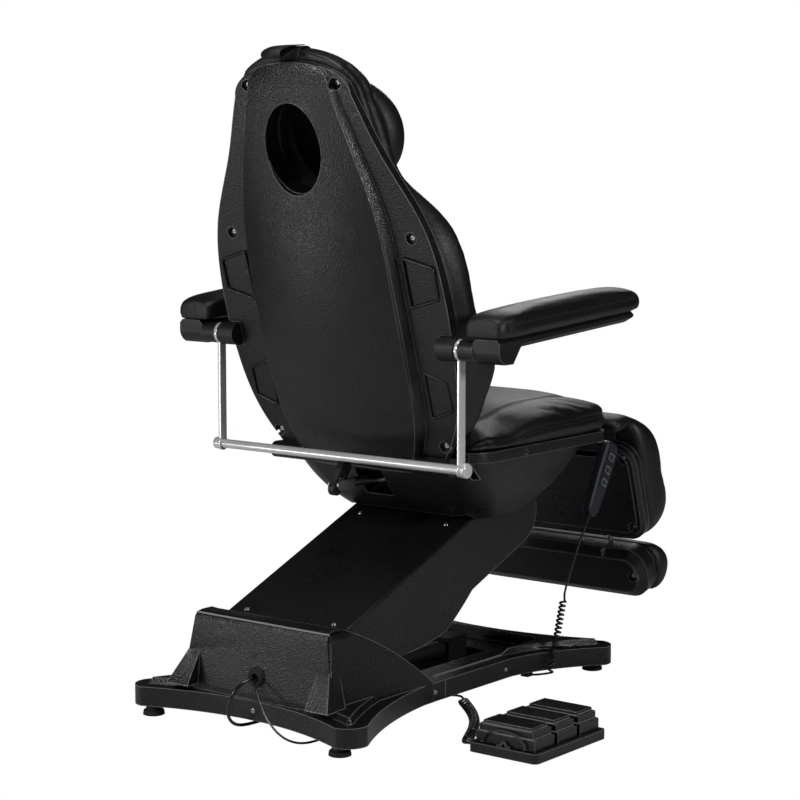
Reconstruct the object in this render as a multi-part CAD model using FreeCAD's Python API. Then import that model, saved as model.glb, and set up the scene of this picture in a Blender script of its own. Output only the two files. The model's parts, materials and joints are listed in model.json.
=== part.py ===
import FreeCAD, Part
import math
import os

# Electric treatment chair, in millimetres.  +Z up, front of the chair towards -Y, the sitter's
# left towards +X.  Lengths below are counted from the middle of the base on the floor.  The saved
# solids are moved along so that their origin is under the middle of the chair's whole length.

# Shared values
overrun = 2.0
running_gap = 0.05
body_gap = 0.4
steel_sheet = 6.0
origin_shift_y = 150.4

# Base
foot_height = 22.0
foot_radius = 24.0
foot_neck_radius = 17.0
foot_x = 260.0
foot_y = 461.0
base_half_width = 312.0
base_half_length = 490.0
base_waist_half_width = 205.0
base_waist_front_y = -215.0
base_waist_rear_y = 95.0
base_end_dip = 58.0
base_corner_radius = 42.0
rim_height = 42.0
cover_wall = 4.0
plateau_inset = 30.0
plateau_height = 13.0
plateau_slope = 8.0
seam_y = 35.0
seam_gap = 0.6
floor_plate_inset = 7.0
floor_plate = 5.0
hump_half_width = 206.0
hump_top_half_width = 190.0
hump_rear_y = 424.0
hump_top_rear_y = 408.0
hump_top_z = 230.0
hump_cheek_y = 362.0
hump_toe_y = 78.0
hump_sag = 16.0
hump_edge_radius = 10.0
buttress_width = 26.0
buttress_reach = 34.0
buttress_height = 84.0
well_half_width = 172.0
well_front_y = -380.0
well_depth = 26.0
well_corner_radius = 40.0
base_screw_radius = 6.0
base_screw_height = 2.4

# Lift arm
arm_pivot_y = 330.0
arm_pivot_z = 130.0
arm_length = 669.0
arm_angle = 22.1
arm_half_width = 168.0
arm_wall = 4.0
arm_top = 80.0
arm_bottom = 71.0
arm_lobe_depth = 105.0
arm_lobe_at = 335.0
arm_lobe_start = 205.0
arm_lobe_end = 450.0
arm_edge_radius = 7.0
arm_end_share = 0.35
arm_top_opening_at = 520.0
arm_screw_at = 50.0
arm_screw_x = 122.0
arm_screw_radius = 6.5
arm_screw_height = 2.6
rail_inner_x = 105.0
rail_thickness = 30.0
rail_height = 50.0
pivot_radius = 14.0
pivot_tube_radius = 24.0
cross_tube_radius = 18.0
cross_tube_shares = (0.3, 0.72)
bracket_inner_x = 156.5
link_inner_x = 146.0
link_thickness = 8.0
link_drop = 45.0
link_half_height = 12.0
link_eye_radius = 18.0
link_pin_radius = 8.0
pedestal_half_length = 58.0
pedestal_head_radius = 30.0

# Slotted levers and the three motors
lever_thickness = 16.0
lever_half_width = 15.0
lever_pin_radius = 6.0
fork_gap = 1.0
fork_thickness = 6.0
rod_radius = 11.0
motor_radius = 26.0
motor_gear_length = 70.0
motor_side_radius = 21.0
motor_side_length = 96.0
motor_block_wall = 7.0
rod_kept_share = 0.5
rod_spare_share = 0.85
lift_lever_drop = 72.0
lift_half_sweep = 13.5
lift_motor_length = 300.0
lift_motor_front_y = -215.0
back_lever_drop = 58.0
back_half_sweep = 36.0
back_lever_x = 36.0
back_motor_length = 92.0
back_motor_front_y = -190.0
leg_lever_drop = 58.0
leg_half_sweep = 35.0
leg_lever_x = -66.0
leg_motor_length = 150.0
leg_motor_rear_y = -215.0
lever_slot_play = 2.6

# Seat
seat_rail_x = 200.0
seat_rail_width = 30.0
seat_rail_top = 551.0
seat_rail_height = 32.0
seat_rail_rear_y = -6.0
seat_rail_front_y = -408.0
seat_rear_y = 30.0
seat_front_y = -535.0
seat_half_width = 302.0
seat_bottom_z = 563.0
seat_low_z = 600.0
seat_high_z = 629.0
seat_crown = 9.0
seat_side_bulge = 7.0
seat_tray_half_width = 285.0
seat_tray_front_y = -505.0
seat_tray_wall = 4.0
seat_rim_height = 20.0
seat_tray_corner = 60.0
bowl_half_widths = (272.0, 250.0, 196.0)
bowl_rear_ys = (26.0, -14.0, -92.0)
bowl_front_ys = (-440.0, -395.0, -305.0)
bowl_zs = (541.0, 470.0, 394.0)
bowl_corner_radii = (70.0, 78.0, 70.0)
bowl_wall = 4.0
bowl_slot_half_width = 174.0
bowl_slot_rear_y = -84.0
bowl_slot_top_z = 482.0
bowl_window_share = 2.6

# Back rest; distances up the back and ahead of its hinge line
back_hinge_y = 72.0
back_hinge_z = 535.0
back_tilt = 17.0
hinge_pin_radius = 10.0
hinge_boss_radius = 18.0
back_hinge_x = 236.0
back_part_line = 30.0
back_shell_wall = 4.0
shell_ups = (-20.0, 70.0, 230.0, 400.0, 540.0, 690.0, 820.0, 872.0)
shell_half_widths = (205.0, 262.0, 304.0, 308.0, 282.0, 208.0, 156.0, 122.0)
shell_panel_half_widths = (148.0, 188.0, 206.0, 204.0, 196.0, 160.0, 118.0, 92.0)
shell_panel_rears = (-2.0, -16.0, -22.0, -20.0, -14.0, -8.0, 2.0, 14.0)
shell_panel_crowns = (8.0, 20.0, 32.0, 36.0, 26.0, 12.0, 5.0, 2.0)
shell_rim_rears = (14.0, 8.0, 4.0, 6.0, 10.0, 10.0, 14.0, 20.0)
face_hole_up = 709.0
face_hole_half_height = 97.0
face_hole_half_width = 74.0
face_collar_wall = 6.0
back_cushion_ups = (52.0, 90.0, 150.0, 250.0, 343.0, 450.0, 535.0, 600.0, 700.0, 800.0, 868.0, 898.0)
back_cushion_half_widths = (
    262.0, 284.0, 294.0, 300.0, 302.0, 298.0, 266.0, 216.0, 186.0, 170.0, 146.0, 104.0)
back_cushion_fronts = (66.0, 104.0, 124.0, 112.0, 94.0, 84.0, 80.0, 80.0, 82.0, 80.0, 74.0, 62.0)
back_cushion_crown = 6.0
back_side_bulge = 8.0
top_pocket_x = 116.0
top_pocket_up = 838.0
mid_pocket_x = 247.0
mid_pocket_up = 511.0
low_pocket_x = 232.0
low_pocket_up = 44.0
pocket_radius = 13.0
pocket_depth = 9.0
shell_screw_radius = 7.0
shell_screw_height = 3.0
recess_depth = 9.0
recess_ups = ((360.0, 470.0), (110.0, 215.0))
recess_edge_share = 0.62
back_rail_x = 112.0
back_rail_width = 30.0
back_rail_depth = 18.0
back_rail_top_up = 560.0
pillow_half_width = 150.0
pillow_half_height = 88.0
pillow_depth = 62.0
pillow_up = 706.0
strap_width = 50.0
strap_thickness = 3.0
strap_gap = 2.2

# Armrests and the paper-roll holder
armrest_pivot_x = 308.0
armrest_pivot_y = 155.0
armrest_pivot_z = 799.0
armrest_shaft_radius = 12.0
armrest_shaft_end_x = 424.0
armrest_boss_radius = 27.0
armrest_boss_end_x = 328.0
armrest_inner_x = 346.0
armrest_outer_x = 456.0
armrest_rear_y = 176.0
armrest_front_y = -362.0
armrest_rear_z = 826.0
armrest_front_z = 858.0
armrest_thickness = 46.0
armrest_crown = 7.0
armrest_cover_inner_x = 377.0
armrest_cover_outer_x = 444.0
armrest_cover_front_y = -330.0
armrest_cover_front_depth = 24.0
armrest_knuckle_radius = 25.0
armrest_spacer_radius = 23.0
roll_arm_inner_x = 330.0
roll_arm_thickness = 8.0
roll_arm_width = 20.0
roll_ring_radius = 23.0
roll_drop = 250.0
roll_bar_radius = 10.0
roll_bar_half_length = 352.0
roll_cap_radius = 16.0
roll_cap_length = 14.0

# Leg rest and foot rest; distances down the leg and ahead of its hinge line
leg_hinge_y = -603.0
leg_hinge_z = 523.0
leg_tilt = 16.6
leg_hinge_x = 150.0
leg_top = -46.0
leg_bottom = 272.0
leg_shell_top = 22.0
leg_shell_rear = 12.0
leg_shell_front = 38.0
leg_half_width = 262.0
leg_corner_radius = 52.0
leg_shell_wall = 3.5
leg_cushion_overhang = 12.0
leg_cushion_front = 128.0
leg_cushion_crown = 7.0
leg_roll_bottom = 20.0
leg_roll_top = 54.0
leg_roll_back = 24.0
leg_roll_rise_shares = (0.0, 0.45, 0.82, 1.0)
leg_roll_back_shares = (0.9, 1.0, 0.8, 0.4)
leg_roll_width_shares = (0.9, 0.94, 0.92, 0.84)
leg_screw_x = 230.0
leg_screw_downs = (56.0, 236.0)
foot_rest_gap = 17.0
foot_rest_length = 124.0
foot_rest_rear = -24.0
foot_rest_parting = 32.0
foot_rest_front = 80.0
foot_rod_x = 150.0
foot_rod_radius = 5.5
foot_rod_ahead = 23.0
foot_rod_top = 66.0
foot_rod_seat = 36.0
foot_tube_wall = 1.6

# Handset
handset_x = -290.0
handset_top_y = -484.0
handset_top_z = 533.0
handset_angle = 30.0
handset_length = 182.0
handset_width = 50.0
handset_thickness = 24.0
handset_waist = 40.0
key_size = 24.0
key_pitch = 31.0
key_first = 36.0
key_height = 3.0
key_gap = 0.5
key_depth = 5.0
hook_wire_radius = 2.5
hook_stem_x = -242.0

# Foot control
pedal_tray_x = -528.0
pedal_tray_y = 150.0
pedal_tray_half_width = 84.0
pedal_tray_half_length = 128.0
pedal_tray_floor = 8.0
pedal_tray_height = 20.0
pedal_wall = 4.0
pedal_half_width = 36.0
pedal_half_length = 62.0
pedal_pitch = 81.0
pedal_pivot_z = 24.0
pedal_pin_radius = 4.0
pedal_top_z = 50.0
pedal_nose = 9.0
pedal_skirt_z = 15.0

# Cords
mains_diameter = 7.0
thin_diameter = 5.0
curl_radius = 6.4
coil_turns = 8
coil_radius = 38.5
coil_step_share = 1.22
grommet_radius = 19.0
grommet_bore = 9.0
grommet_z = 112.0

os.makedirs("parts", exist_ok=True)
axis_x = FreeCAD.Vector(1, 0, 0)
axis_y = FreeCAD.Vector(0, 1, 0)
axis_z = FreeCAD.Vector(0, 0, 1)
origin = FreeCAD.Vector(0, 0, 0)
# Routes, curls and plug
mains_route = (
    (4, 421, 112), (8, 442, 109), (15, 461, 98), (22, 474, 79), (28, 479, 56), (32, 474, 34), (34, 459, 17),
    (35, 438, 7.5), (34, 412, 4.2), (33, 372, 3.6), (35, 325, 3.6), (31, 275, 3.6), (30, 245, 3.6),
    (29.65, 215, 3.6),
)
pedal_route = (
    (-4, 421, 112), (-6, 436, 109), (-28, 452, 94), (-48, 464, 74), (-72, 474, 52), (-98, 480, 32),
    (-124, 479, 16), (-146, 468, 7), (-158, 444, 3.2), (-160, 400, 2.6), (-152, 345, 2.6), (-149, 285, 2.6),
    (-141, 225, 2.6), (-131, 165, 2.6), (-125, 105, 2.6), (-122, 50, 2.6), (-126, 5, 2.8), (-138, -28, 3.6),
    (-160, -50, 5.0), (-184, -50, 6.5), (-202, -34, 7.8), (-213, -17, 9.4),
)
handset_route = (
    (-290, -392.6, 374.7), (-290, -382, 356), (-286, -375, 334), (-276, -372, 305), (-264, -371, 265),
    (-252, -370.5, 230), (-245, -370, 205), (-242, -369.5, 190),
)
pedal_curl_count = 25
handset_curl_count = 16
pedal_curl_start = (-16, 19, 0)
pedal_curl_end = (24, -16, 0)
handset_curl_end = (-50, -10, 14)
pedal_cord_exit = (-444, 262, 12)
handset_gland_face = (-202, -292, 11)
plug_half_width = 15.0
plug_thickness = 16.0
plug_length = 34.0
plug_neck_length = 16.0
plug_neck_radius = 5.5
blade_length = 16.0
blade_height = 6.3
blade_thickness = 1.6
blade_pitch = 12.7

# Shares of other sizes
base_shoulder_share = 1.3
base_bend_share = 0.3
base_bend_reach_share = 0.48
screw_top_share = 0.72
screw_socket_share = 0.36
screw_depth_share = 0.55
fork_reach_share = 2.4
seat_slot_share = 5 / 13
panel_wall_share = 0.6
recess_wall_share = 0.4
beam_half_share = 0.7
knuckle_tail_share = 0.8
knuckle_step_share = 2.2
knuckle_round_share = 0.566
roll_foot_share = 1.5
roll_neck_share = 1.3
leg_slot_share = 1.4
foot_socket_share = 1.6
handset_taper_share = 0.45
handset_hip_share = 0.45
handset_brow_share = 0.28
handset_chin_share = 0.62
key_top_share = 0.84
key_dish_share = 0.4
key_root_share = 0.8
pedal_post_share = 0.45
pedal_nose_share = 1.4
pedal_crown_share = 0.4
pedal_pin_share = 0.1
steep_share = 0.8
coil_quarter_turn = 0.25
plug_offset_share = 0.4
plug_neck_share = 1.4

slant = math.sqrt(0.5)
floor_z = foot_height
rim_top_z = foot_height + rim_height
plateau_top_z = rim_top_z + plateau_height


def vec(x, y, z=0.0):
    return FreeCAD.Vector(x, y, z)


def drawn_wire(start, steps):
    """A closed wire from lines (one point) and arcs (a point on the way and the end)."""
    edges = []
    here = start
    for step in steps:
        if len(step) == 1:
            edges.append(Part.LineSegment(here, step[0]).toShape())
        else:
            edges.append(Part.Arc(here, step[0], step[1]).toShape())
        here = step[-1]
    if here.distanceToPoint(start) > running_gap:
        edges.append(Part.LineSegment(here, start).toShape())
    return Part.Wire(edges)


def side_prism(start, steps, low_x, high_x):
    """A prism along X whose section is given by (y, z) points."""
    lift = [tuple(vec(low_x, y, z) for y, z in step) for step in steps]
    wire = drawn_wire(vec(low_x, *start), lift)
    return Part.Face(wire).extrude(vec(high_x - low_x, 0, 0))


def polygon_prism(points, low_x, high_x):
    return side_prism(points[0], [(point,) for point in points[1:]], low_x, high_x)


def box(low, high):
    size = high - low
    return Part.makeBox(size.x, size.y, size.z, low)


def rod_between(start, end, radius):
    return Part.makeCylinder(radius, start.distanceToPoint(end), start, end - start)


def rounded_wire(half_width, rear, front, radius, height):
    """A rounded rectangle in a level plane."""
    ease = radius * (1 - slant)
    wide = half_width
    inner = half_width - radius
    steps = [
        (vec(inner, front, height),),
        (vec(wide - ease, front + ease, height), vec(wide, front + radius, height)),
        (vec(wide, rear - radius, height),),
        (vec(wide - ease, rear - ease, height), vec(inner, rear, height)),
        (vec(-inner, rear, height),),
        (vec(-wide + ease, rear - ease, height), vec(-wide, rear - radius, height)),
        (vec(-wide, front + radius, height),),
        (vec(-wide + ease, front + ease, height), vec(-inner, front, height)),
    ]
    return drawn_wire(vec(-inner, front, height), steps)


def fuse_all(shapes):
    joined = shapes[0]
    if len(shapes) > 1:
        joined = shapes[0].multiFuse(shapes[1:])
    return joined.removeSplitter()


def mirrored(shape):
    return shape.mirror(origin, axis_x)


def pair(shape):
    return [shape, mirrored(shape)]


def turned(shape, angle, place):
    """Tips a piece about X so that its front rises, and moves its origin to a place."""
    moved = shape.copy()
    moved.rotate(origin, axis_x, -angle)
    moved.translate(place)
    return moved


def save(name, shapes):
    group = shapes if isinstance(shapes, list) else [shapes]
    solids = [solid for shape in group for solid in shape.Solids]
    shape = solids[0] if len(solids) == 1 else Part.makeCompound(solids)
    shape = shape.translated(vec(0, origin_shift_y, 0))
    shape.exportStep("parts/" + name + ".step")
    print(name, len(solids), round(shape.Volume / 1000.0, 1), shape.isValid())


# Base

def base_outline(inset):
    """The waisted outline of the base, in the floor plane."""
    wide = base_half_width
    length = base_half_length
    waist = base_waist_half_width
    corner = base_corner_radius
    ease = corner * (1 - slant)
    flare = wide - corner

    def half(sign, waist_y):
        shoulder_y = length - corner * base_shoulder_share
        bend_y = sign * waist_y + base_bend_reach_share * (shoulder_y - sign * waist_y)
        return [
            vec(wide, sign * shoulder_y),
            vec(wide - ease, sign * (length - ease)),
            vec(flare, sign * length),
            vec(waist + base_bend_share * (wide - waist), sign * bend_y),
        ]

    rear_shoulder, rear_corner, rear_end, rear_bend = half(1, base_waist_rear_y)
    front_shoulder, front_corner, front_end, front_bend = half(-1, base_waist_front_y)
    flip = lambda point: vec(-point.x, point.y)
    steps = [
        (rear_bend, vec(waist, base_waist_rear_y)),
        (vec(waist, base_waist_front_y),),
        (front_bend, front_shoulder),
        (front_corner, front_end),
        (vec(0, -length + base_end_dip), flip(front_end)),
        (flip(front_corner), flip(front_shoulder)),
        (flip(front_bend), vec(-waist, base_waist_front_y)),
        (vec(-waist, base_waist_rear_y),),
        (flip(rear_bend), flip(rear_shoulder)),
        (flip(rear_corner), flip(rear_end)),
        (vec(0, length - base_end_dip), rear_end),
        (rear_corner, rear_shoulder),
    ]
    wire = drawn_wire(rear_shoulder, steps)
    return wire.makeOffset2D(-inset) if inset else wire


def base_slab(inset, low_z, high_z):
    face = Part.Face(base_outline(inset))
    slab = face.extrude(vec(0, 0, high_z - low_z))
    slab.translate(vec(0, 0, low_z))
    return slab


def base_block(wall):
    """The rim and the raised, sloping plateau of the base cover, less a wall."""
    rim = base_slab(wall, floor_z, rim_top_z - wall)
    lower = base_outline(plateau_inset + wall)
    upper = base_outline(plateau_inset + plateau_slope + wall)
    lower.translate(vec(0, 0, rim_top_z - wall - overrun))
    upper.translate(vec(0, 0, plateau_top_z - wall))
    return rim.fuse(Part.makeLoft([lower, upper], True, True))


def hump_block(wall):
    """The rear hump with its quarter-round cheeks, less a wall."""
    low = floor_z
    top = hump_top_z - wall
    middle_y = (hump_cheek_y + hump_toe_y) / 2
    middle_z = (top + rim_top_z) / 2 + hump_sag
    toe = hump_toe_y + wall
    side = side_prism(
        (hump_rear_y - wall, low),
        [
            ((hump_rear_y - wall, plateau_top_z),),
            ((hump_top_rear_y - wall, top - hump_edge_radius),),
            ((hump_top_rear_y - wall - hump_edge_radius, top),),
            ((hump_cheek_y, top),),
            ((middle_y, middle_z), (toe, rim_top_z)),
            ((toe, low),),
        ],
        -base_half_width,
        base_half_width,
    )
    foot = hump_half_width - wall
    head = hump_top_half_width - wall
    front_view = [
        vec(-foot, 0, low), vec(-foot, 0, plateau_top_z), vec(-head, 0, top - hump_edge_radius),
        vec(-head + hump_edge_radius, 0, top), vec(head - hump_edge_radius, 0, top),
        vec(head, 0, top - hump_edge_radius), vec(foot, 0, plateau_top_z), vec(foot, 0, low),
    ]
    face = Part.Face(Part.makePolygon(front_view + front_view[:1]))
    block = face.extrude(vec(0, base_half_length, 0))
    return side.common(block)


def buttress():
    """A rib that props a rear corner of the hump."""
    outer = hump_top_half_width
    foot = vec(outer - buttress_width, hump_rear_y - buttress_width, plateau_top_z - overrun)
    high = vec(outer - buttress_width, hump_top_rear_y - buttress_width, plateau_top_z + buttress_height)
    lower = Part.makePlane(buttress_width + buttress_reach, buttress_width + buttress_reach, foot).OuterWire
    upper = Part.makePlane(buttress_width, buttress_width, high).OuterWire
    return Part.makeLoft([lower, upper], True, True)


def arm_room():
    """The room between the cheeks in which the arm turns."""
    half = arm_half_width + 4 * body_gap + arm_wall
    front_y = -base_half_length
    slot_rear = hump_cheek_y + cover_wall
    return box(vec(-half, front_y, rim_top_z - overrun), vec(half, slot_rear, hump_top_z + overrun))


def half_space(rear):
    reach = base_half_length + base_half_width
    if rear:
        return box(vec(-reach, seam_y + seam_gap / 2, -overrun), vec(reach, reach, reach))
    return box(vec(-reach, -reach, -overrun), vec(reach, seam_y - seam_gap / 2, reach))


def base_rear_cover():
    ribs = pair(buttress())
    outer = fuse_all([base_block(0), hump_block(0)] + ribs)
    inner = base_block(cover_wall).fuse(hump_block(cover_wall))
    shell = outer.cut(inner).cut(arm_room())
    hole = Part.makeCylinder(grommet_radius, base_half_length, vec(0, arm_pivot_y, grommet_z), axis_y)
    return shell.cut(hole).common(half_space(True))


def base_front_cover():
    outer = base_block(0)
    inner = base_block(cover_wall)
    wire = rounded_wire(well_half_width, seam_y + base_half_width, well_front_y, well_corner_radius, 0)
    well = Part.Face(wire).extrude(vec(0, 0, base_half_width))
    lining = wire.makeOffset2D(cover_wall)
    tub = Part.Face(lining).extrude(vec(0, 0, plateau_top_z))
    well_floor = plateau_top_z - well_depth
    well.translate(vec(0, 0, well_floor))
    tub.translate(vec(0, 0, well_floor - cover_wall))
    shell = outer.cut(inner).fuse(tub.common(outer)).cut(well)
    motor_bay = box(
        vec(-motor_bay_half_width, lift_motor_front_y - motor_gear_length - motor_block_wall, 0),
        vec(motor_bay_half_width, seam_y + overrun, plateau_top_z),
    )
    return shell.cut(motor_bay).common(half_space(False)).removeSplitter()


motor_bay_half_width = motor_radius + motor_side_radius * 2 + motor_block_wall * 2


def arm_place(along, up):
    """A point of the arm's side view, in the chair's frame at rest."""
    angle = math.radians(arm_angle)
    y = arm_pivot_y - along * math.cos(angle) + up * math.sin(angle)
    z = arm_pivot_z + along * math.sin(angle) + up * math.cos(angle)
    return y, z


upper_pivot_y, upper_pivot_z = arm_place(arm_length, 0)


def bracket(head_y, head_z, pin_drop, edge_z, half_length):
    """A side plate from a frame to a pivot and to the link's pin below it."""
    low = head_z - pin_drop
    start_y = head_y - half_length
    end_y = head_y + half_length
    radius = pedestal_head_radius
    plate = Part.makeCylinder(radius, steel_sheet, vec(bracket_inner_x, head_y, head_z), axis_x)
    foot = Part.makeCylinder(link_eye_radius, steel_sheet, vec(bracket_inner_x, head_y, low), axis_x)
    spine = box(
        vec(bracket_inner_x, head_y - link_eye_radius, min(low, edge_z)),
        vec(bracket_inner_x + steel_sheet, head_y + link_eye_radius, max(head_z, edge_z)),
    )
    far_z = head_z if edge_z < head_z else low
    web = polygon_prism(
        [(start_y, edge_z), (end_y, edge_z), (head_y + link_eye_radius, head_z),
         (head_y - link_eye_radius, head_z)],
        bracket_inner_x,
        bracket_inner_x + steel_sheet,
    )
    body = fuse_all([plate, foot, spine, web])
    bore = Part.makeCylinder(pivot_radius, base_half_width, vec(0, head_y, head_z), axis_x)
    pin_bore = Part.makeCylinder(link_pin_radius, base_half_width, vec(0, head_y, low), axis_x)
    return body.cut(bore).cut(pin_bore)


def base_frame():
    plate = base_slab(floor_plate_inset, floor_z, floor_z + floor_plate)
    top = floor_z + floor_plate - overrun / 2
    side = bracket(arm_pivot_y, arm_pivot_z, link_drop, top, pedestal_half_length)
    return fuse_all([plate] + pair(side))


def pivot_pins(y, z):
    """The through shaft of a pivot and the two stub pins of the links below it."""
    reach = bracket_inner_x + steel_sheet
    shaft = Part.makeCylinder(pivot_radius, 2 * reach, vec(-reach, y, z), axis_x)
    stub_start = vec(link_inner_x, y, z - link_drop)
    stub = Part.makeCylinder(link_pin_radius, reach - link_inner_x, stub_start, axis_x)
    return [shaft] + pair(stub)


def base_feet():
    feet = []
    for x in (-foot_x, foot_x):
        for y in (-foot_y, foot_y):
            neck = vec(x, y, foot_height / 2)
            pad = Part.makeCone(foot_radius, foot_radius - overrun, foot_height / 2, vec(x, y, 0))
            stem = Part.makeCylinder(foot_neck_radius, foot_height / 2, neck)
            feet.append(pad.fuse(stem).removeSplitter())
    return feet


def button_screw(place, direction, radius, height):
    """A low domed screw head with a hexagon socket."""
    head = Part.makeCone(radius, radius * screw_top_share, height, place, direction)
    end = place + direction.normalize() * height * (1 - screw_depth_share)
    socket = Part.makeCylinder(radius * screw_socket_share, height, end, direction)
    return head.cut(socket)


def base_screws():
    middle_z = floor_z + rim_height / 2
    waist = base_waist_half_width
    side_y = base_waist_rear_y - foot_radius
    rear_y = base_half_length - base_end_dip
    front_y = -rear_y
    size = (base_screw_radius, base_screw_height)
    side = button_screw(vec(waist, side_y, middle_z), vec(1, 0, 0), *size)
    front_side = button_screw(vec(waist, base_waist_front_y + foot_radius, middle_z), vec(1, 0, 0), *size)
    rear = button_screw(vec(0, rear_y + running_gap, middle_z), vec(0, 1, 0), *size)
    front = button_screw(vec(0, front_y - running_gap, middle_z), vec(0, -1, 0), *size)
    return pair(side) + pair(front_side) + [rear, front]


def cable_grommet():
    """A rubber ring in the hump's rear wall, its lip cut to the wall's slope."""
    face_y = hump_face_y(grommet_z)
    start = vec(0, face_y - 2 * cover_wall, grommet_z)
    body = Part.makeCylinder(grommet_radius - running_gap, 3 * cover_wall, start, axis_y)
    lip_radius = grommet_radius + cover_wall
    high_y = hump_face_y(grommet_z + lip_radius)
    low_y = hump_face_y(grommet_z - lip_radius)
    lip = Part.makeCone(
        lip_radius, grommet_radius, low_y - high_y + cover_wall, vec(0, high_y, grommet_z), axis_y)
    bore = Part.makeCylinder(grommet_bore, 8 * cover_wall, start - vec(0, overrun, 0), axis_y)
    return body.fuse(lip.cut(hump_block(0))).cut(bore).removeSplitter()


def hump_face_y(height):
    """How far back the hump's rear wall stands at a height."""
    share = (height - plateau_top_z) / (hump_top_z - hump_edge_radius - plateau_top_z)
    return hump_rear_y + share * (hump_top_rear_y - hump_rear_y)


def control_box():
    low_z = floor_z + floor_plate
    high_z = plateau_top_z - well_depth - 2 * cover_wall
    size = foot_x / 2 - foot_radius * 2
    low = vec(-size, well_front_y + foot_radius, low_z)
    high = vec(size, lift_motor_front_y - motor_gear_length - foot_radius, high_z)
    case = box(low, high)
    rib = box(vec(low.x, low.y, high_z - overrun), vec(high.x, high.y, high_z))
    groove = box(
        vec(low.x, low.y + overrun * 2, high_z - overrun), vec(high.x, high.y - overrun * 2, high_z))
    return case.cut(rib.cut(groove))


# Motors, rods and slotted levers

def linear_motor(along, line_z, x, start_y, length):
    """A spindle motor: square gear block with the motor beside it, and an outer tube.

    The rod leaves the tube at start_y and runs in the direction along (+1 or -1 on Y).
    """
    direction = vec(0, along, 0)
    end = vec(x, start_y, line_z)
    tail = vec(x, start_y - along * length, line_z)
    tube = rod_between(tail, end, rod_radius + motor_block_wall)
    half = motor_radius
    gear_low = min(0, -along * motor_gear_length)
    block = box(
        vec(x - half, tail.y + gear_low, line_z - half),
        vec(x + half, tail.y + gear_low + motor_gear_length, line_z + half),
    )
    side_x = x + half + motor_side_radius - motor_block_wall
    side_start = vec(side_x, tail.y - along * motor_gear_length, line_z)
    side = Part.makeCylinder(motor_side_radius, motor_side_length, side_start, direction)
    deep = tail - direction * (motor_gear_length - motor_block_wall)
    bore = rod_between(deep, end + direction * overrun, rod_radius + running_gap)
    return fuse_all([tube, block, side]).cut(bore)


def motor_foot(along, line_z, x, start_y, length, plate_z):
    """The saddle that bolts a motor's gear block to a plate above or below."""
    tail_y = start_y - along * (length + motor_gear_length / 2)
    half = motor_gear_length / 4
    low = min(line_z, plate_z)
    high = max(line_z, plate_z)
    return box(vec(x - half, tail_y - half, low), vec(x + half, tail_y + half, high))


def push_rod(along, line_z, x, start_y, pin_y, inside):
    """A motor's rod with a fork and its cross pin."""
    fork_half = lever_thickness / 2 + fork_gap + fork_thickness
    fork_root = pin_y - along * lever_half_width * fork_reach_share
    rod = rod_between(vec(x, start_y - along * inside, line_z), vec(x, fork_root, line_z), rod_radius)
    low_y = min(fork_root - along * rod_radius, pin_y)
    high_y = max(fork_root - along * rod_radius, pin_y)
    fork = box(
        vec(x - fork_half, low_y, line_z - rod_radius), vec(x + fork_half, high_y, line_z + rod_radius))
    nose = Part.makeCylinder(rod_radius, 2 * fork_half, vec(x - fork_half, pin_y, line_z), axis_x)
    slot_half = lever_thickness / 2 + fork_gap
    slot_tip = pin_y + along * (rod_radius + overrun)
    slot_low = min(fork_root, slot_tip)
    slot_high = max(fork_root, slot_tip)
    reach = rod_radius + overrun
    slot = box(
        vec(x - slot_half, slot_low, line_z - reach),
        vec(x + slot_half, slot_high, line_z + reach),
    )
    pin = Part.makeCylinder(lever_pin_radius, 2 * fork_half, vec(x - fork_half, pin_y, line_z), axis_x)
    return fuse_all([rod, fork, nose]).cut(slot).fuse(pin).removeSplitter()


def slotted_lever(x, drop, half_sweep, hub_radius):
    """A lever hanging below its pivot, leaning back by half its sweep, with a lengthwise slot."""
    reach = drop / math.cos(math.radians(half_sweep))
    low_x = x - lever_thickness / 2
    slot_half = lever_pin_radius + lever_slot_play
    end = reach + slot_half
    arm = box(vec(low_x, -lever_half_width, -end), vec(low_x + lever_thickness, lever_half_width, 0))
    nose = Part.makeCylinder(lever_half_width, lever_thickness, vec(low_x, 0, -end), axis_x)
    hub = Part.makeCylinder(hub_radius, lever_thickness, vec(low_x, 0, 0), axis_x)
    slot = box(
        vec(low_x - overrun, -slot_half, -reach - lever_slot_play),
        vec(low_x + lever_thickness + overrun, slot_half, -drop + lever_slot_play),
    )
    rounds = [
        Part.makeCylinder(slot_half, lever_thickness + 2 * overrun, vec(low_x - overrun, 0, z), axis_x)
        for z in (-reach - lever_slot_play, -drop + lever_slot_play)
    ]
    lever = fuse_all([arm, nose, hub]).cut(fuse_all([slot] + rounds))
    lever.rotate(origin, axis_x, half_sweep)
    return lever


def lever_pin_y(pivot_y, drop, half_sweep):
    """Where a rod's pin stands at rest, on its straight line below the lever's pivot."""
    return pivot_y + drop * math.tan(math.radians(half_sweep))


lift_line_z = arm_pivot_z - lift_lever_drop
lift_pin_y = lever_pin_y(arm_pivot_y, lift_lever_drop, lift_half_sweep)
lift_mouth_y = lift_motor_front_y + lift_motor_length
back_line_z = back_hinge_z - back_lever_drop
back_pin_y = lever_pin_y(back_hinge_y, back_lever_drop, back_half_sweep)
back_mouth_y = back_motor_front_y + back_motor_length
leg_line_z = leg_hinge_z - leg_lever_drop
leg_pin_y = lever_pin_y(leg_hinge_y, leg_lever_drop, leg_half_sweep)
leg_mouth_y = leg_motor_rear_y - leg_motor_length


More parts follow.
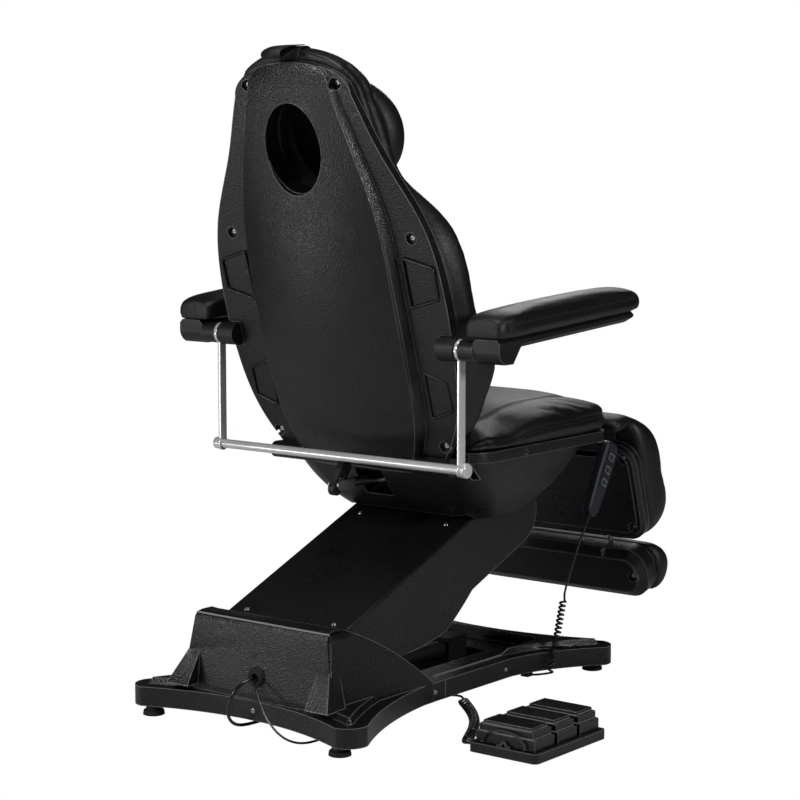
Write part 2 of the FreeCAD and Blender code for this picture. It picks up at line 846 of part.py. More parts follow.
def mounted_motor(along, line_z, x, mouth_y, length, plate_z):
    body = linear_motor(along, line_z, x, mouth_y, length)
    saddle = motor_foot(along, line_z, x, mouth_y, length, plate_z)
    bore_end = vec(x, mouth_y, line_z)
    bore_start = vec(x, mouth_y - along * (length + motor_gear_length - motor_block_wall), line_z)
    bore = rod_between(bore_start, bore_end, rod_radius + running_gap)
    return body.fuse(saddle).cut(bore).removeSplitter()


base_plate_z = floor_z + floor_plate
seat_deck_z = seat_rail_top - steel_sheet


# Lift arm

def arm_block():
    """The arm's cover as a solid, along the arm from its lower pivot."""
    top = arm_top
    return side_prism(
        (0, -arm_top),
        [
            ((-arm_lobe_start, -arm_top),),
            ((-(arm_lobe_start + arm_lobe_at) / 2, -(arm_top + arm_lobe_depth) / 2 - arm_wall),
             (-arm_lobe_at, -arm_lobe_depth)),
            ((-(arm_lobe_at + arm_lobe_end) / 2, -(arm_bottom + arm_lobe_depth) / 2 - arm_wall / 2),
             (-arm_lobe_end, -arm_bottom)),
            ((-arm_length, -arm_bottom),),
            ((-arm_length - arm_bottom * slant, -arm_bottom * slant),
             (-arm_length - arm_bottom, 0)),
            ((-arm_length - arm_bottom, top / 2),),
            ((-arm_length, top),),
            ((0, top),),
            ((arm_top * slant, arm_top * slant), (arm_top, 0)),
            ((arm_top * slant, -arm_top * slant), (0, -arm_top)),
        ],
        -arm_half_width,
        arm_half_width,
    )


def arm_cover():
    outer = arm_block()
    rims = [edge for edge in outer.Edges if is_top_edge(edge)]
    outer = outer.makeFillet(arm_edge_radius, rims)
    half = arm_half_width - arm_wall
    far = -2 * arm_length
    inner = box(vec(-half, far, -arm_length), vec(half, 0, arm_top - arm_wall))
    mouth = box(vec(-half, far, -arm_length), vec(half, -arm_top_opening_at, arm_length))
    tail = Part.makeCylinder(arm_top - arm_wall, 2 * half, vec(-half, 0, 0), axis_x)
    below = box(vec(-half, -arm_top, -arm_length), vec(half, arm_length, arm_top * arm_end_share))
    return outer.cut(inner).cut(mouth).cut(tail).cut(below)


def is_top_edge(edge):
    bounds = edge.BoundBox
    level = bounds.ZLength < running_gap and abs(bounds.ZMax - arm_top) < running_gap
    return level and bounds.YLength > arm_length / 2


def arm_frame():
    length = arm_length
    half = rail_height / 2
    rail = box(vec(rail_inner_x, -length, -half), vec(rail_inner_x + rail_thickness, 0, half))
    reach = rail_inner_x + rail_thickness
    tubes = [
        Part.makeCylinder(pivot_tube_radius, 2 * reach, vec(-reach, y, 0), axis_x)
        for y in (0, -length)
    ]
    braces = [
        Part.makeCylinder(cross_tube_radius, 2 * reach, vec(-reach, -length * share, 0), axis_x)
        for share in cross_tube_shares
    ]
    bores = [
        Part.makeCylinder(pivot_radius + running_gap, 3 * reach, vec(-1.5 * reach, y, 0), axis_x)
        for y in (0, -length)
    ]
    posts = []
    for x in (-arm_screw_x, arm_screw_x):
        posts.append(Part.makeCylinder(
            arm_screw_radius, arm_top - arm_wall, vec(x, -arm_screw_at, 0)))
        posts.append(Part.makeCylinder(
            arm_screw_radius, arm_top - arm_wall, vec(x, -arm_top_opening_at + arm_screw_at, 0)))
    lever = slotted_lever(0, lift_lever_drop, lift_half_sweep, pivot_tube_radius)
    lever.rotate(origin, axis_x, arm_angle)
    return fuse_all(pair(rail) + tubes + braces + posts + [lever]).cut(fuse_all(bores))


def arm_screws():
    screws = []
    for along in (arm_screw_at, arm_top_opening_at - arm_screw_at):
        for x in (-arm_screw_x, arm_screw_x):
            place = vec(x, -along, arm_top)
            screws.append(button_screw(place, vec(0, 0, 1), arm_screw_radius, arm_screw_height))
    return screws


def lower_links():
    """Two bars, parallel to the arm, that keep the seat level."""
    half = link_half_height
    bar = box(
        vec(link_inner_x, -arm_length, -half), vec(link_inner_x + link_thickness, 0, half))
    ends = [
        Part.makeCylinder(link_eye_radius, link_thickness, vec(link_inner_x, y, 0), axis_x)
        for y in (0, -arm_length)
    ]
    bores = [
        Part.makeCylinder(link_pin_radius + running_gap, base_half_width, vec(0, y, 0), axis_x)
        for y in (0, -arm_length)
    ]
    link = fuse_all([bar] + ends).cut(fuse_all(bores))
    place = vec(0, arm_pivot_y, arm_pivot_z - link_drop)
    return [turned(side, arm_angle, place) for side in pair(link)]


# Seat

def hinge_eye(x, y, z, width, radius, pin_radius):
    eye = Part.makeCylinder(radius, width, vec(x, y, z), axis_x)
    return eye, Part.makeCylinder(pin_radius, width + 2 * overrun, vec(x - overrun, y, z), axis_x)


def seat_frame():
    low = seat_rail_top - seat_rail_height
    wide = seat_rail_width
    rail = box(
        vec(seat_rail_x, seat_rail_front_y, low), vec(seat_rail_x + wide, seat_rail_rear_y, seat_rail_top))
    cross_ys = (upper_pivot_y - wide, seat_rail_rear_y - wide, seat_rail_front_y)
    crosses = [
        box(vec(-seat_rail_x, y, low), vec(seat_rail_x, y + wide, seat_rail_top)) for y in cross_ys
    ]
    deck = box(
        vec(-seat_rail_x, seat_rail_front_y, seat_rail_top - steel_sheet),
        vec(seat_rail_x, seat_rail_rear_y, seat_rail_top),
    )
    side = bracket(upper_pivot_y, upper_pivot_z, link_drop, low + overrun, pedestal_half_length)
    side_top = box(
        vec(bracket_inner_x, upper_pivot_y - pedestal_half_length, low),
        vec(bracket_inner_x + steel_sheet, upper_pivot_y + pedestal_half_length, seat_rail_top),
    )
    eyes = []
    bores = []
    rear_ear = polygon_prism(
        [(seat_rail_rear_y - wide * 2, low), (back_hinge_y, back_hinge_z - hinge_boss_radius),
         (back_hinge_y, back_hinge_z + hinge_boss_radius), (seat_rail_rear_y - wide * 2, seat_rail_top)],
        back_hinge_x, back_hinge_x + steel_sheet * 2)
    tie = box(
        vec(seat_rail_x, seat_rail_rear_y - wide * 2, low),
        vec(back_hinge_x + steel_sheet * 2, seat_rail_rear_y - wide, seat_rail_top),
    )
    front_ear = polygon_prism(
        [(seat_rail_front_y + wide, low), (leg_hinge_y, leg_hinge_z - hinge_boss_radius),
         (leg_hinge_y, leg_hinge_z + hinge_boss_radius), (seat_rail_front_y + wide, seat_rail_top)],
        leg_hinge_x, leg_hinge_x + steel_sheet * 2)
    for x, y, z in ((back_hinge_x, back_hinge_y, back_hinge_z), (leg_hinge_x, leg_hinge_y, leg_hinge_z)):
        eye, bore = hinge_eye(x, y, z, steel_sheet * 2, hinge_boss_radius, hinge_pin_radius)
        eyes.append(eye)
        bores.append(bore)
    one_side = fuse_all([rail, side, side_top, rear_ear, tie, front_ear] + eyes).cut(fuse_all(bores))
    return fuse_all(pair(one_side) + crosses + [deck])


def seat_pins():
    """Pins of the seat: the arm's upper shaft, the link stubs, and the hinge pins."""
    pins = pivot_pins(upper_pivot_y, upper_pivot_z)
    back_start = vec(back_hinge_x - steel_sheet * 2 - overrun, back_hinge_y, back_hinge_z)
    pins += pair(Part.makeCylinder(hinge_pin_radius, steel_sheet * 4 + overrun, back_start, axis_x))
    leg_start = vec(leg_hinge_x - steel_sheet * 2 - overrun, leg_hinge_y, leg_hinge_z)
    pins += pair(Part.makeCylinder(hinge_pin_radius, steel_sheet * 4 + overrun, leg_start, axis_x))
    return pins


def seat_shell():
    """The tray below the cushion, with its downward rim."""
    top = seat_bottom_z
    outline = rounded_wire(seat_tray_half_width, seat_rear_y, seat_tray_front_y, seat_tray_corner, 0)
    inside = outline.makeOffset2D(-seat_tray_wall)
    block = Part.Face(outline).extrude(vec(0, 0, seat_rim_height + seat_tray_wall))
    room = Part.Face(inside).extrude(vec(0, 0, seat_rim_height + overrun))
    block.translate(vec(0, 0, top - seat_rim_height - seat_tray_wall))
    room.translate(vec(0, 0, top - seat_rim_height - seat_tray_wall - overrun))
    shell = block.cut(room)
    slot_y = bowl_front_ys[1] * seat_slot_share
    slot_z = top - seat_rim_height / 2 - seat_tray_wall
    slot_start = vec(-2 * seat_half_width, slot_y, slot_z)
    slot = Part.makeCylinder(seat_rim_height / 4, 4 * seat_half_width, slot_start, axis_x)
    notch_low = seat_bottom_z - seat_rim_height * 2
    rear_notch = box(
        vec(-back_hinge_x - steel_sheet * 3, seat_rear_y - seat_rail_width, notch_low),
        vec(back_hinge_x + steel_sheet * 3, seat_rear_y + overrun, top - seat_tray_wall),
    )
    front_notch = box(
        vec(-leg_hinge_x - steel_sheet * 3, seat_tray_front_y - overrun, notch_low),
        vec(leg_hinge_x + steel_sheet * 3, seat_tray_front_y + seat_tray_wall * 2, top - seat_tray_wall),
    )
    return shell.cut(slot).cut(rear_notch).cut(front_notch)


def bowl_loft(wall):
    wires = []
    for half, rear, front, radius, z in zip(
            bowl_half_widths, bowl_rear_ys, bowl_front_ys, bowl_corner_radii, bowl_zs):
        lift = wall if z == bowl_zs[-1] else 0
        lift = -overrun if wall and z == bowl_zs[0] else lift
        wires.append(rounded_wire(half - wall, rear - wall, front + wall, radius - wall, z + abs(lift)))
    return Part.makeLoft(wires, True, False)


def seat_lower_cover():
    shell = bowl_loft(0).cut(bowl_loft(bowl_wall))
    slot = box(
        vec(-bowl_slot_half_width, bowl_front_ys[0] - overrun, bowl_zs[2] - overrun),
        vec(bowl_slot_half_width, bowl_slot_rear_y, bowl_slot_top_z),
    )
    window_half = lever_half_width * bowl_window_share
    window = box(
        vec(back_lever_x - window_half, bowl_slot_rear_y, back_line_z - window_half),
        vec(back_lever_x + window_half, seat_rear_y + overrun, bowl_zs[0] + overrun),
    )
    shell = shell.cut(slot).cut(window)
    ear_low = back_hinge_z - hinge_boss_radius * 2
    for low_x, low_y, high_y in (
            (back_hinge_x, -bowl_corner_radii[0], seat_rear_y),
            (leg_hinge_x, bowl_front_ys[0], bowl_front_ys[2])):
        ear_slot = box(
            vec(low_x - body_gap * 2, low_y - overrun, ear_low),
            vec(low_x + steel_sheet * 2 + body_gap * 2, high_y + overrun, bowl_zs[0] + overrun))
        shell = shell.cut(fuse_all(pair(ear_slot)))
    return shell


def cushion_section(half, low, high, crown, bulge, place):
    """One crowned section with drawn-in sides; place turns (across, up) into a point."""
    middle = (low + high) / 2
    edge = half - bulge
    return drawn_wire(place(-edge, low), [
        (place(edge, low),),
        (place(half, middle), place(edge, high)),
        (place(0, high + crown), place(-edge, high)),
        (place(-half, middle), place(-edge, low)),
    ])


def seat_cushion():
    low = seat_bottom_z + body_gap
    high_low = seat_low_z
    high = seat_high_z
    wide = seat_half_width
    span = seat_front_y - seat_rear_y
    along_shares = (0.0, 0.07, 0.2, 0.36, 0.58, 0.8, 0.95, 1.0)
    width_shares = (0.9, 0.965, 0.99, 1.0, 1.0, 0.985, 0.87, 0.74)
    rise_shares = (-0.75, -0.2, 0.0, 0.72, 1.0, 0.97, 0.55, -0.1)
    wires = []
    for along, width, rise in zip(along_shares, width_shares, rise_shares):
        y = seat_rear_y + along * span
        top = high_low + rise * (high - high_low)
        place = lambda across, up, y=y: vec(across, y, up)
        wires.append(cushion_section(wide * width, low, top, seat_crown, seat_side_bulge, place))
    return Part.makeLoft(wires, True, False)


# Back rest, drawn upright with its hinge at the origin

def shell_section(up, half, panel, rear, crown, rim, front, wall):
    """A level section of the back shell: rim, step and crowned panel."""
    step_share = 0.5
    step = (rim - rear) * step_share
    edge = half - wall
    inner = panel - wall * panel_wall_share
    rear_y = -rear - wall
    rim_y = -rim - wall
    points = [
        (vec(edge, -front, up),),
        (vec(edge, rim_y, up),),
        (vec(inner, rim_y, up),),
        (vec(inner - step, rear_y, up),),
        (vec(0, rear_y + crown, up), vec(-inner + step, rear_y, up)),
        (vec(-inner, rim_y, up),),
        (vec(-edge, rim_y, up),),
    ]
    return drawn_wire(vec(-edge, -front, up), points + [(vec(-edge, -front, up),)])


def shell_loft(wall, front):
    wires = []
    last = len(shell_ups) - 1
    values = zip(
        shell_ups, shell_half_widths, shell_panel_half_widths, shell_panel_rears,
        shell_panel_crowns, shell_rim_rears)
    for index, (up, half, panel, rear, crown, rim) in enumerate(values):
        level = up + wall if index == 0 else up - wall if index == last else up
        wires.append(shell_section(level, half, panel, rear, crown, rim, front, wall))
    return Part.makeLoft(wires, True, False)


def face_hole(half_width, half_height, reach):
    """An upright oval bar along Y, for the face opening."""
    face = Part.Face(Part.Wire([Part.Ellipse(origin, half_height, half_width).toShape()]))
    face.rotate(origin, axis_y, 90)
    face.rotate(origin, axis_z, 90)
    face.translate(vec(0, -reach, face_hole_up))
    return face.extrude(vec(0, 2 * reach, 0))


def shell_width_at(up):
    """The shell's half width at a height, between the drawn sections."""
    for low, high, start, end in zip(shell_ups, shell_ups[1:], shell_half_widths, shell_half_widths[1:]):
        if low <= up <= high:
            return start + (end - start) * (up - low) / (high - low)
    return shell_half_widths[-1]


def shell_rim_at(up):
    """Where the rim's rear face stands at a height, ahead of the hinge line."""
    for low, high, start, end in zip(shell_ups, shell_ups[1:], shell_rim_rears, shell_rim_rears[1:]):
        if low <= up <= high:
            return start + (end - start) * (up - low) / (high - low)
    return shell_rim_rears[-1]


pocket_places = (
    (top_pocket_x, top_pocket_up), (mid_pocket_x, mid_pocket_up), (low_pocket_x, low_pocket_up))


def back_shell():
    reach = shell_half_widths[3]
    shell = shell_loft(0, back_part_line).cut(shell_loft(back_shell_wall, back_part_line + overrun))
    wall = face_collar_wall
    collar = face_hole(face_hole_half_width + wall, face_hole_half_height + wall, reach)
    collar = collar.common(shell_loft(0, back_part_line))
    shell = shell.fuse(collar).cut(face_hole(face_hole_half_width, face_hole_half_height, reach))
    for x, up in pocket_places:
        rim = -shell_rim_at(up)
        cup = Part.makeCylinder(pocket_radius + back_shell_wall, pocket_depth + back_shell_wall,
                                vec(x, rim - pocket_depth - back_shell_wall, up), axis_y)
        hole = Part.makeCylinder(pocket_radius, reach, vec(x, rim - pocket_depth, up), axis_y)
        for side in pair(cup):
            shell = shell.fuse(side.common(shell_loft(0, back_part_line)))
        for side in pair(hole):
            shell = shell.cut(side)
    for low, high in recess_ups:
        for side in pair(side_recess(low, high)):
            shell = shell.cut(side)
    axle = armrest_local()
    lug_x = armrest_pivot_x - armrest_boss_radius - overrun
    for side in pair(Part.makeCylinder(armrest_boss_radius, reach, vec(lug_x, axle.y, axle.z), axis_x)):
        shell = shell.cut(side)
    room_start = vec(-2 * back_hinge_x, 0, 0)
    room = Part.makeCylinder(hinge_boss_radius + body_gap, 4 * back_hinge_x, room_start, axis_x)
    lever_half = (lever_thickness + fork_gap) / 2 + fork_thickness + overrun
    throat = box(
        vec(back_lever_x - lever_half, -back_part_line, shell_ups[0] - overrun),
        vec(back_lever_x + lever_half, reach, hinge_boss_radius + body_gap))
    return shell.cut(room).cut(throat).removeSplitter()


def side_recess(low, high):
    """A shallow trapezoid sunk into the rim's rear face."""
    wide = shell_width_at((low + high) / 2) - pocket_radius
    inner = shell_panel_half_widths[3] + pocket_radius
    middle = (low + high) / 2
    half = (high - low) / 2
    short = half * recess_edge_share
    rim = -min(shell_rim_at(low), shell_rim_at(high))
    depth = back_shell_wall * recess_wall_share
    corners = [
        vec(inner, rim - depth, middle - half), vec(wide, rim - depth, middle - short),
        vec(wide, rim - depth, middle + short), vec(inner, rim - depth, middle + half),
    ]
    face = Part.Face(Part.makePolygon(corners + corners[:1]))
    return face.extrude(vec(0, recess_depth * 3, 0))


def armrest_local():
    """The armrest's axle in the upright drawing of the back."""
    angle = math.radians(back_tilt)
    dy = armrest_pivot_y - back_hinge_y
    dz = armrest_pivot_z - back_hinge_z
    return vec(0, dy * math.cos(angle) - dz * math.sin(angle), dy * math.sin(angle) + dz * math.cos(angle))


def back_frame():
    """Two rails on the hinge, cross tubes, the slotted lever and the armrest axles."""
    front = -back_part_line + body_gap
    depth = back_rail_depth
    rail = box(
        vec(back_rail_x, front, -hinge_boss_radius / 2),
        vec(back_rail_x + back_rail_width, front + depth, back_rail_top_up),
    )
    hinge_reach = back_hinge_x - body_gap * 2
    hinge = Part.makeCylinder(hinge_boss_radius, 2 * hinge_reach, vec(-hinge_reach, 0, 0), axis_x)
    neck = box(
        vec(back_rail_x, front, -hinge_boss_radius / 2),
        vec(back_rail_x + back_rail_width, 0, hinge_boss_radius * 2),
    )
    axle = armrest_local()
    level = axle.z
    top = box(
        vec(-back_rail_x, front, back_rail_top_up - back_rail_width),
        vec(back_rail_x, front + depth, back_rail_top_up),
    )
    beam_reach = armrest_boss_end_x - body_gap
    beam = box(
        vec(-beam_reach + armrest_boss_radius, front, level - armrest_boss_radius * beam_half_share),
        vec(beam_reach - armrest_boss_radius, front + depth, level + armrest_boss_radius * beam_half_share),
    )
    lug_low = vec(armrest_pivot_x - armrest_boss_radius, front, level - armrest_boss_radius * beam_half_share)
    lug = box(lug_low, vec(armrest_boss_end_x, axle.y, level + armrest_boss_radius * beam_half_share))
    boss = Part.makeCylinder(
        armrest_boss_radius - overrun, armrest_boss_end_x - lug_low.x, vec(lug_low.x, axle.y, level), axis_x)
    trim = Part.makeCylinder(armrest_boss_radius - overrun, 2 * armrest_boss_end_x,
                             vec(-armrest_boss_end_x, axle.y, level), axis_x)
    lug = lug.common(box(
        vec(0, front, level - armrest_boss_radius + overrun * 2),
        vec(armrest_pivot_x - back_shell_wall * 2, axle.y, level + armrest_boss_radius - overrun * 2)))
    shaft = Part.makeCylinder(
        armrest_shaft_radius, armrest_shaft_end_x - armrest_pivot_x,
        vec(armrest_pivot_x, axle.y, level), axis_x)
    lever = slotted_lever(back_lever_x, back_lever_drop, back_half_sweep, hinge_boss_radius)
    lever.rotate(origin, axis_x, back_tilt)
    sides = []
    for piece in (rail, neck, boss, lug, shaft):
        sides += pair(piece)
    frame = fuse_all(sides + [hinge, top, beam.cut(trim), lever])
    bore = Part.makeCylinder(
        hinge_pin_radius + running_gap, 2 * back_hinge_x, vec(-back_hinge_x, 0, 0), axis_x)
    return frame.cut(bore)


def back_cushion():
    rear = -back_part_line - body_gap
    wires = []
    for up, half, front in zip(back_cushion_ups, back_cushion_half_widths, back_cushion_fronts):
        place = lambda across, ahead, up=up: vec(across, -ahead, up)
        wires.append(cushion_section(half, -rear, front, back_cushion_crown, back_side_bulge, place))
    pad = Part.makeLoft(wires, True, False)
    return pad.cut(face_hole(face_hole_half_width, face_hole_half_height, base_half_width))


def head_pillow():
    """A half-moon pillow lying on the head part of the cushion."""
    rear = back_cushion_fronts[8] + back_cushion_crown + body_gap * 2
    up_shares = (-1.0, -0.8, -0.3, 0.2, 0.7, 1.0)
    width_shares = (0.62, 0.86, 1.0, 0.98, 0.8, 0.5)
    depth_shares = (0.35, 0.75, 1.0, 1.0, 0.72, 0.3)
    wires = []
    for up_share, width, depth in zip(up_shares, width_shares, depth_shares):
        up = pillow_up + up_share * pillow_half_height
        place = lambda across, ahead, up=up: vec(across, -ahead, up)
        front = rear + pillow_depth * depth
        wires.append(cushion_section(
            pillow_half_width * width, rear, front, back_cushion_crown, back_side_bulge, place))
    return Part.makeLoft(wires, True, False)


def pillow_strap():
    """A flat strap from the pillow over the top of the back to the shell's rear."""
    gap = strap_gap
    thick = strap_thickness
    top = back_cushion_ups[-1] + gap
    front = -(back_cushion_fronts[-2] + back_cushion_crown + gap)
    low_front = pillow_up + pillow_half_height + gap
    rear = -shell_panel_rears[-1] + shell_panel_crowns[-1] + gap
    low_rear = shell_ups[-1] - strap_width
    rear_low = -shell_panel_rears[-2] + shell_panel_crowns[-2] + gap
    head = -(back_cushion_fronts[8] + back_cushion_crown + gap)
    outer = [
        (head - thick, low_front), (front - thick, back_cushion_ups[-2]), (front + thick * 4, top + thick),
        (rear + thick, top + thick), (rear_low + thick, low_rear),
    ]
    inner = [
        (rear_low, low_rear), (rear, shell_ups[-1]), (rear, top), (front + thick * 4, top),
        (front, back_cushion_ups[-2]), (head, low_front),
    ]
    return polygon_prism(outer + inner, -strap_width / 2, strap_width / 2)


def back_screws():
    screws = []
    for x, up in pocket_places:
        place = vec(x, -shell_rim_at(up) - pocket_depth, up)
        screws += pair(button_screw(place, vec(0, 1, 0), shell_screw_radius, shell_screw_height))
    return screws


# Armrests and roll holder, in the chair's frame

def armrest_pad():
    """The sewn pad on top of an armrest, on the sitter's left."""
    middle = (armrest_inner_x + armrest_outer_x) / 2
    half = (armrest_outer_x - armrest_inner_x) / 2
    along_shares = (0.0, 0.05, 0.16, 0.37, 0.58, 0.79, 0.94, 1.0)
    width_shares = (0.78, 0.94, 1.0, 1.0, 1.0, 1.0, 0.92, 0.7)
    height_shares = (0.76, 0.94, 1.0, 1.0, 1.0, 1.0, 0.9, 0.62)
    wires = []
    for along, width, height in zip(along_shares, width_shares, height_shares):
        y = armrest_rear_y + along * (armrest_front_y - armrest_rear_y)
        low = armrest_rear_z + along * (armrest_front_z - armrest_rear_z)
        place = lambda across, up, y=y: vec(middle + across, y, up)
        wires.append(cushion_section(
            half * width, low, low + armrest_thickness * height, armrest_crown, armrest_crown, place))
    return Part.makeLoft(wires, True, False)


def armrest_cover():
    """The moulded under-cover with its deep knuckle round the axle, and the spacer."""
    slope = (armrest_front_z - armrest_rear_z) / (armrest_front_y - armrest_rear_y)
    top_at = lambda y: armrest_rear_z + (y - armrest_rear_y) * slope - body_gap
    radius = armrest_knuckle_radius
    y = armrest_pivot_y
    z = armrest_pivot_z
    low = z - radius
    tail = y + radius * knuckle_tail_share
    step_y = y - radius * knuckle_step_share
    step_z = top_at(step_y) - armrest_cover_front_depth
    front = armrest_cover_front_y
    cover = side_prism(
        (tail, top_at(tail)),
        [
            ((tail, z),),
            ((y + radius * knuckle_round_share, z - radius * knuckle_round_share), (y, low)),
            ((step_y + radius, low),),
            ((step_y, step_z),),
            ((front + radius, top_at(front) - armrest_cover_front_depth),),
            ((front, top_at(front) - armrest_cover_front_depth / 2),),
            ((front, top_at(front)),),
        ],
        armrest_cover_inner_x,
        armrest_cover_outer_x,
    )
    edges = [edge for edge in cover.Edges if lower_long_edge(edge)]
    cover = cover.makeChamfer(armrest_cover_front_depth / 3, edges)
    start = roll_arm_inner_x + roll_arm_thickness + body_gap
    spacer_length = armrest_cover_inner_x - start
    spacer = Part.makeCylinder(armrest_spacer_radius, spacer_length, vec(start, y, z), axis_x)
    bore = Part.makeCylinder(
        armrest_shaft_radius + running_gap, armrest_shaft_end_x - start + overrun,
        vec(start - overrun / 2, y, z), axis_x)
    return cover.fuse(spacer).cut(bore).removeSplitter()


def lower_long_edge(edge):
    bounds = edge.BoundBox
    return bounds.XLength < running_gap and bounds.YLength > base_half_width


def roll_arm():
    """A flat bar that hangs from an armrest axle and carries one end of the roll bar."""
    y = armrest_pivot_y
    z = armrest_pivot_z
    x = roll_arm_inner_x
    thick = roll_arm_thickness
    half = roll_arm_width / 2
    ring = Part.makeCylinder(roll_ring_radius, thick, vec(x, y, z), axis_x)
    foot = Part.makeCylinder(half * roll_foot_share, thick, vec(x, y, z - roll_drop), axis_x)
    bar = box(vec(x, y - half, z - roll_drop), vec(x + thick, y + half, z))
    eye = Part.makeCylinder(armrest_shaft_radius + running_gap, 2 * thick, vec(x - thick / 2, y, z), axis_x)
    hole_start = vec(x - thick / 2, y, z - roll_drop)
    hole = Part.makeCylinder(roll_bar_radius + running_gap, 2 * thick, hole_start, axis_x)
    return fuse_all([ring, foot, bar]).cut(eye).cut(hole)


def roll_bar():
    y = armrest_pivot_y
    z = armrest_pivot_z - roll_drop
    half = roll_bar_half_length
    bar = Part.makeCylinder(roll_bar_radius, 2 * half, vec(-half, y, z), axis_x)
    gap = roll_arm_inner_x + roll_arm_thickness + body_gap * 2
    cap = Part.makeCylinder(roll_cap_radius, roll_cap_length, vec(-gap - roll_cap_length, y, z), axis_x)
    rim = [edge for edge in cap.Edges if edge.BoundBox.XLength < running_gap]
    cap = cap.makeFillet(roll_cap_length / 4, rim)
    small = Part.makeCylinder(roll_bar_radius * roll_neck_share, roll_cap_length, vec(gap, y, z), axis_x)
    return fuse_all([bar, cap, small])


# Leg rest and foot rest, drawn hanging straight down from the leg hinge

def panel_wire(half, top, bottom, radius, ahead):
    """A rounded upright rectangle, in a plane across the chair."""
    ease = radius * (1 - slant)
    inner = half - radius
    high = -top
    low = -bottom
    point = lambda x, z: vec(x, -ahead, z)
    return drawn_wire(point(-inner, low), [
        (point(inner, low),),
        (point(half - ease, low + ease), point(half, low + radius)),
        (point(half, high - radius),),
        (point(half - ease, high - ease), point(inner, high)),
        (point(-inner, high),),
        (point(-half + ease, high - ease), point(-half, high - radius)),
        (point(-half, low + radius),),
        (point(-half + ease, low + ease), point(-inner, low)),
    ])


def panel_shell(half, top, bottom, rear, front, wall, radius):
    """A shallow moulded tray, open to the front, with a bevelled rear edge."""
    bevel = (front - rear) / 3
    outer = Part.makeLoft([
        panel_wire(half - bevel, top + bevel, bottom - bevel, radius - bevel, rear),
        panel_wire(half, top, bottom, radius, rear + bevel),
        panel_wire(half, top, bottom, radius, front),
    ], True, True)
    inner = Part.makeLoft([
        panel_wire(
            half - wall - bevel, top + wall + bevel, bottom - wall - bevel, radius - bevel, rear + wall),
        panel_wire(half - wall, top + wall, bottom - wall, radius, rear + wall + bevel),
        panel_wire(half - wall, top + wall, bottom - wall, radius, front + overrun),
    ], True, True)
    return outer.cut(inner)


def screw_cups(shell, places, rear, wall):
    """Adds a stepped pocket for each screw to a panel's rear face."""
    for x, down in places:
        floor_y = -rear - pocket_depth
        cup = Part.makeCylinder(
            pocket_radius + wall, pocket_depth + wall, vec(x, floor_y - wall, -down), axis_y)
        hole = Part.makeCylinder(pocket_radius, pocket_depth + overrun, vec(x, floor_y, -down), axis_y)
        shell = shell.fuse(cup).cut(hole)
    return shell.removeSplitter()


leg_screw_places = [(x, down) for x in (-leg_screw_x, leg_screw_x) for down in leg_screw_downs]
foot_top = leg_bottom + foot_rest_gap
foot_bottom = foot_top + foot_rest_length
foot_screw_places = [(x, foot_top + foot_rest_length / 2) for x in (-leg_screw_x, leg_screw_x)]


def legrest_shell():
    shell = panel_shell(
        leg_half_width, leg_shell_top, leg_bottom, leg_shell_rear, leg_shell_front, leg_shell_wall,
        leg_corner_radius)
    shell = screw_cups(shell, leg_screw_places, leg_shell_rear, leg_shell_wall)
    for x in (-foot_rod_x, foot_rod_x):
        hole = Part.makeCylinder(
            foot_rod_radius + foot_tube_wall + body_gap, leg_shell_wall * 4,
            vec(x, -foot_rod_ahead, -leg_bottom - leg_shell_wall), axis_z)
        shell = shell.cut(hole)
    for x in (-leg_hinge_x, leg_hinge_x, leg_lever_x):
        notch = box(
            vec(x - seat_rail_width * leg_slot_share, -leg_shell_front - overrun,
                -leg_shell_top - hinge_boss_radius * 2),
            vec(x + seat_rail_width * leg_slot_share, -leg_shell_rear + overrun, -leg_shell_top + overrun),
        )
        shell = shell.cut(notch)
    plate_slot = box(
        vec(-leg_screw_x + pocket_radius * 2 - body_gap, -leg_shell_front - overrun,
            -leg_shell_top - leg_shell_wall * 2),
        vec(leg_screw_x - pocket_radius * 2 + body_gap, -leg_shell_front + steel_sheet + body_gap * 2,
            -leg_shell_top + overrun))
    return shell.cut(plate_slot).removeSplitter()


def legrest_frame():
    """The hinge tubes, the plate they carry, the lever and the two slide tubes."""
    front = leg_shell_front - body_gap
    plate_rear = front - steel_sheet
    plate = box(
        vec(-leg_screw_x + pocket_radius * 2, -front, -leg_bottom + leg_shell_wall * 3),
        vec(leg_screw_x - pocket_radius * 2, -plate_rear, hinge_boss_radius))
    reach = leg_hinge_x - body_gap * 2
    hinge = Part.makeCylinder(hinge_boss_radius, 2 * reach, vec(-reach, 0, 0), axis_x)
    web = box(vec(-reach, -front, -hinge_boss_radius), vec(reach, 0, hinge_boss_radius))
    clear = Part.makeCylinder(hinge_boss_radius + body_gap * 2, steel_sheet * 2 + body_gap * 4,
                              vec(reach, 0, 0), axis_x)
    bore = Part.makeCylinder(hinge_pin_radius + running_gap, 3 * reach, vec(-1.5 * reach, 0, 0), axis_x)
    lever = slotted_lever(leg_lever_x, leg_lever_drop, leg_half_sweep, hinge_boss_radius)
    lever.rotate(origin, axis_x, leg_tilt)
    tubes = []
    bores = [bore]
    for x in (-foot_rod_x, foot_rod_x):
        low = vec(x, -foot_rod_ahead, -leg_bottom + leg_shell_wall * 2)
        length = leg_bottom - leg_shell_wall * 2 - leg_shell_top - foot_rod_top / 2
        tubes.append(Part.makeCylinder(foot_rod_radius + foot_tube_wall, length, low))
        bores.append(Part.makeCylinder(
            foot_rod_radius + running_gap, length + foot_rod_top, low - vec(0, 0, overrun)))
        tubes.append(box(
            vec(x - foot_rod_radius, -front, low.z),
            vec(x + foot_rod_radius, -foot_rod_ahead, low.z + length)))
    frame = fuse_all([plate, hinge, web, lever] + tubes)
    return frame.cut(fuse_all(bores)).cut(fuse_all(pair(clear)))


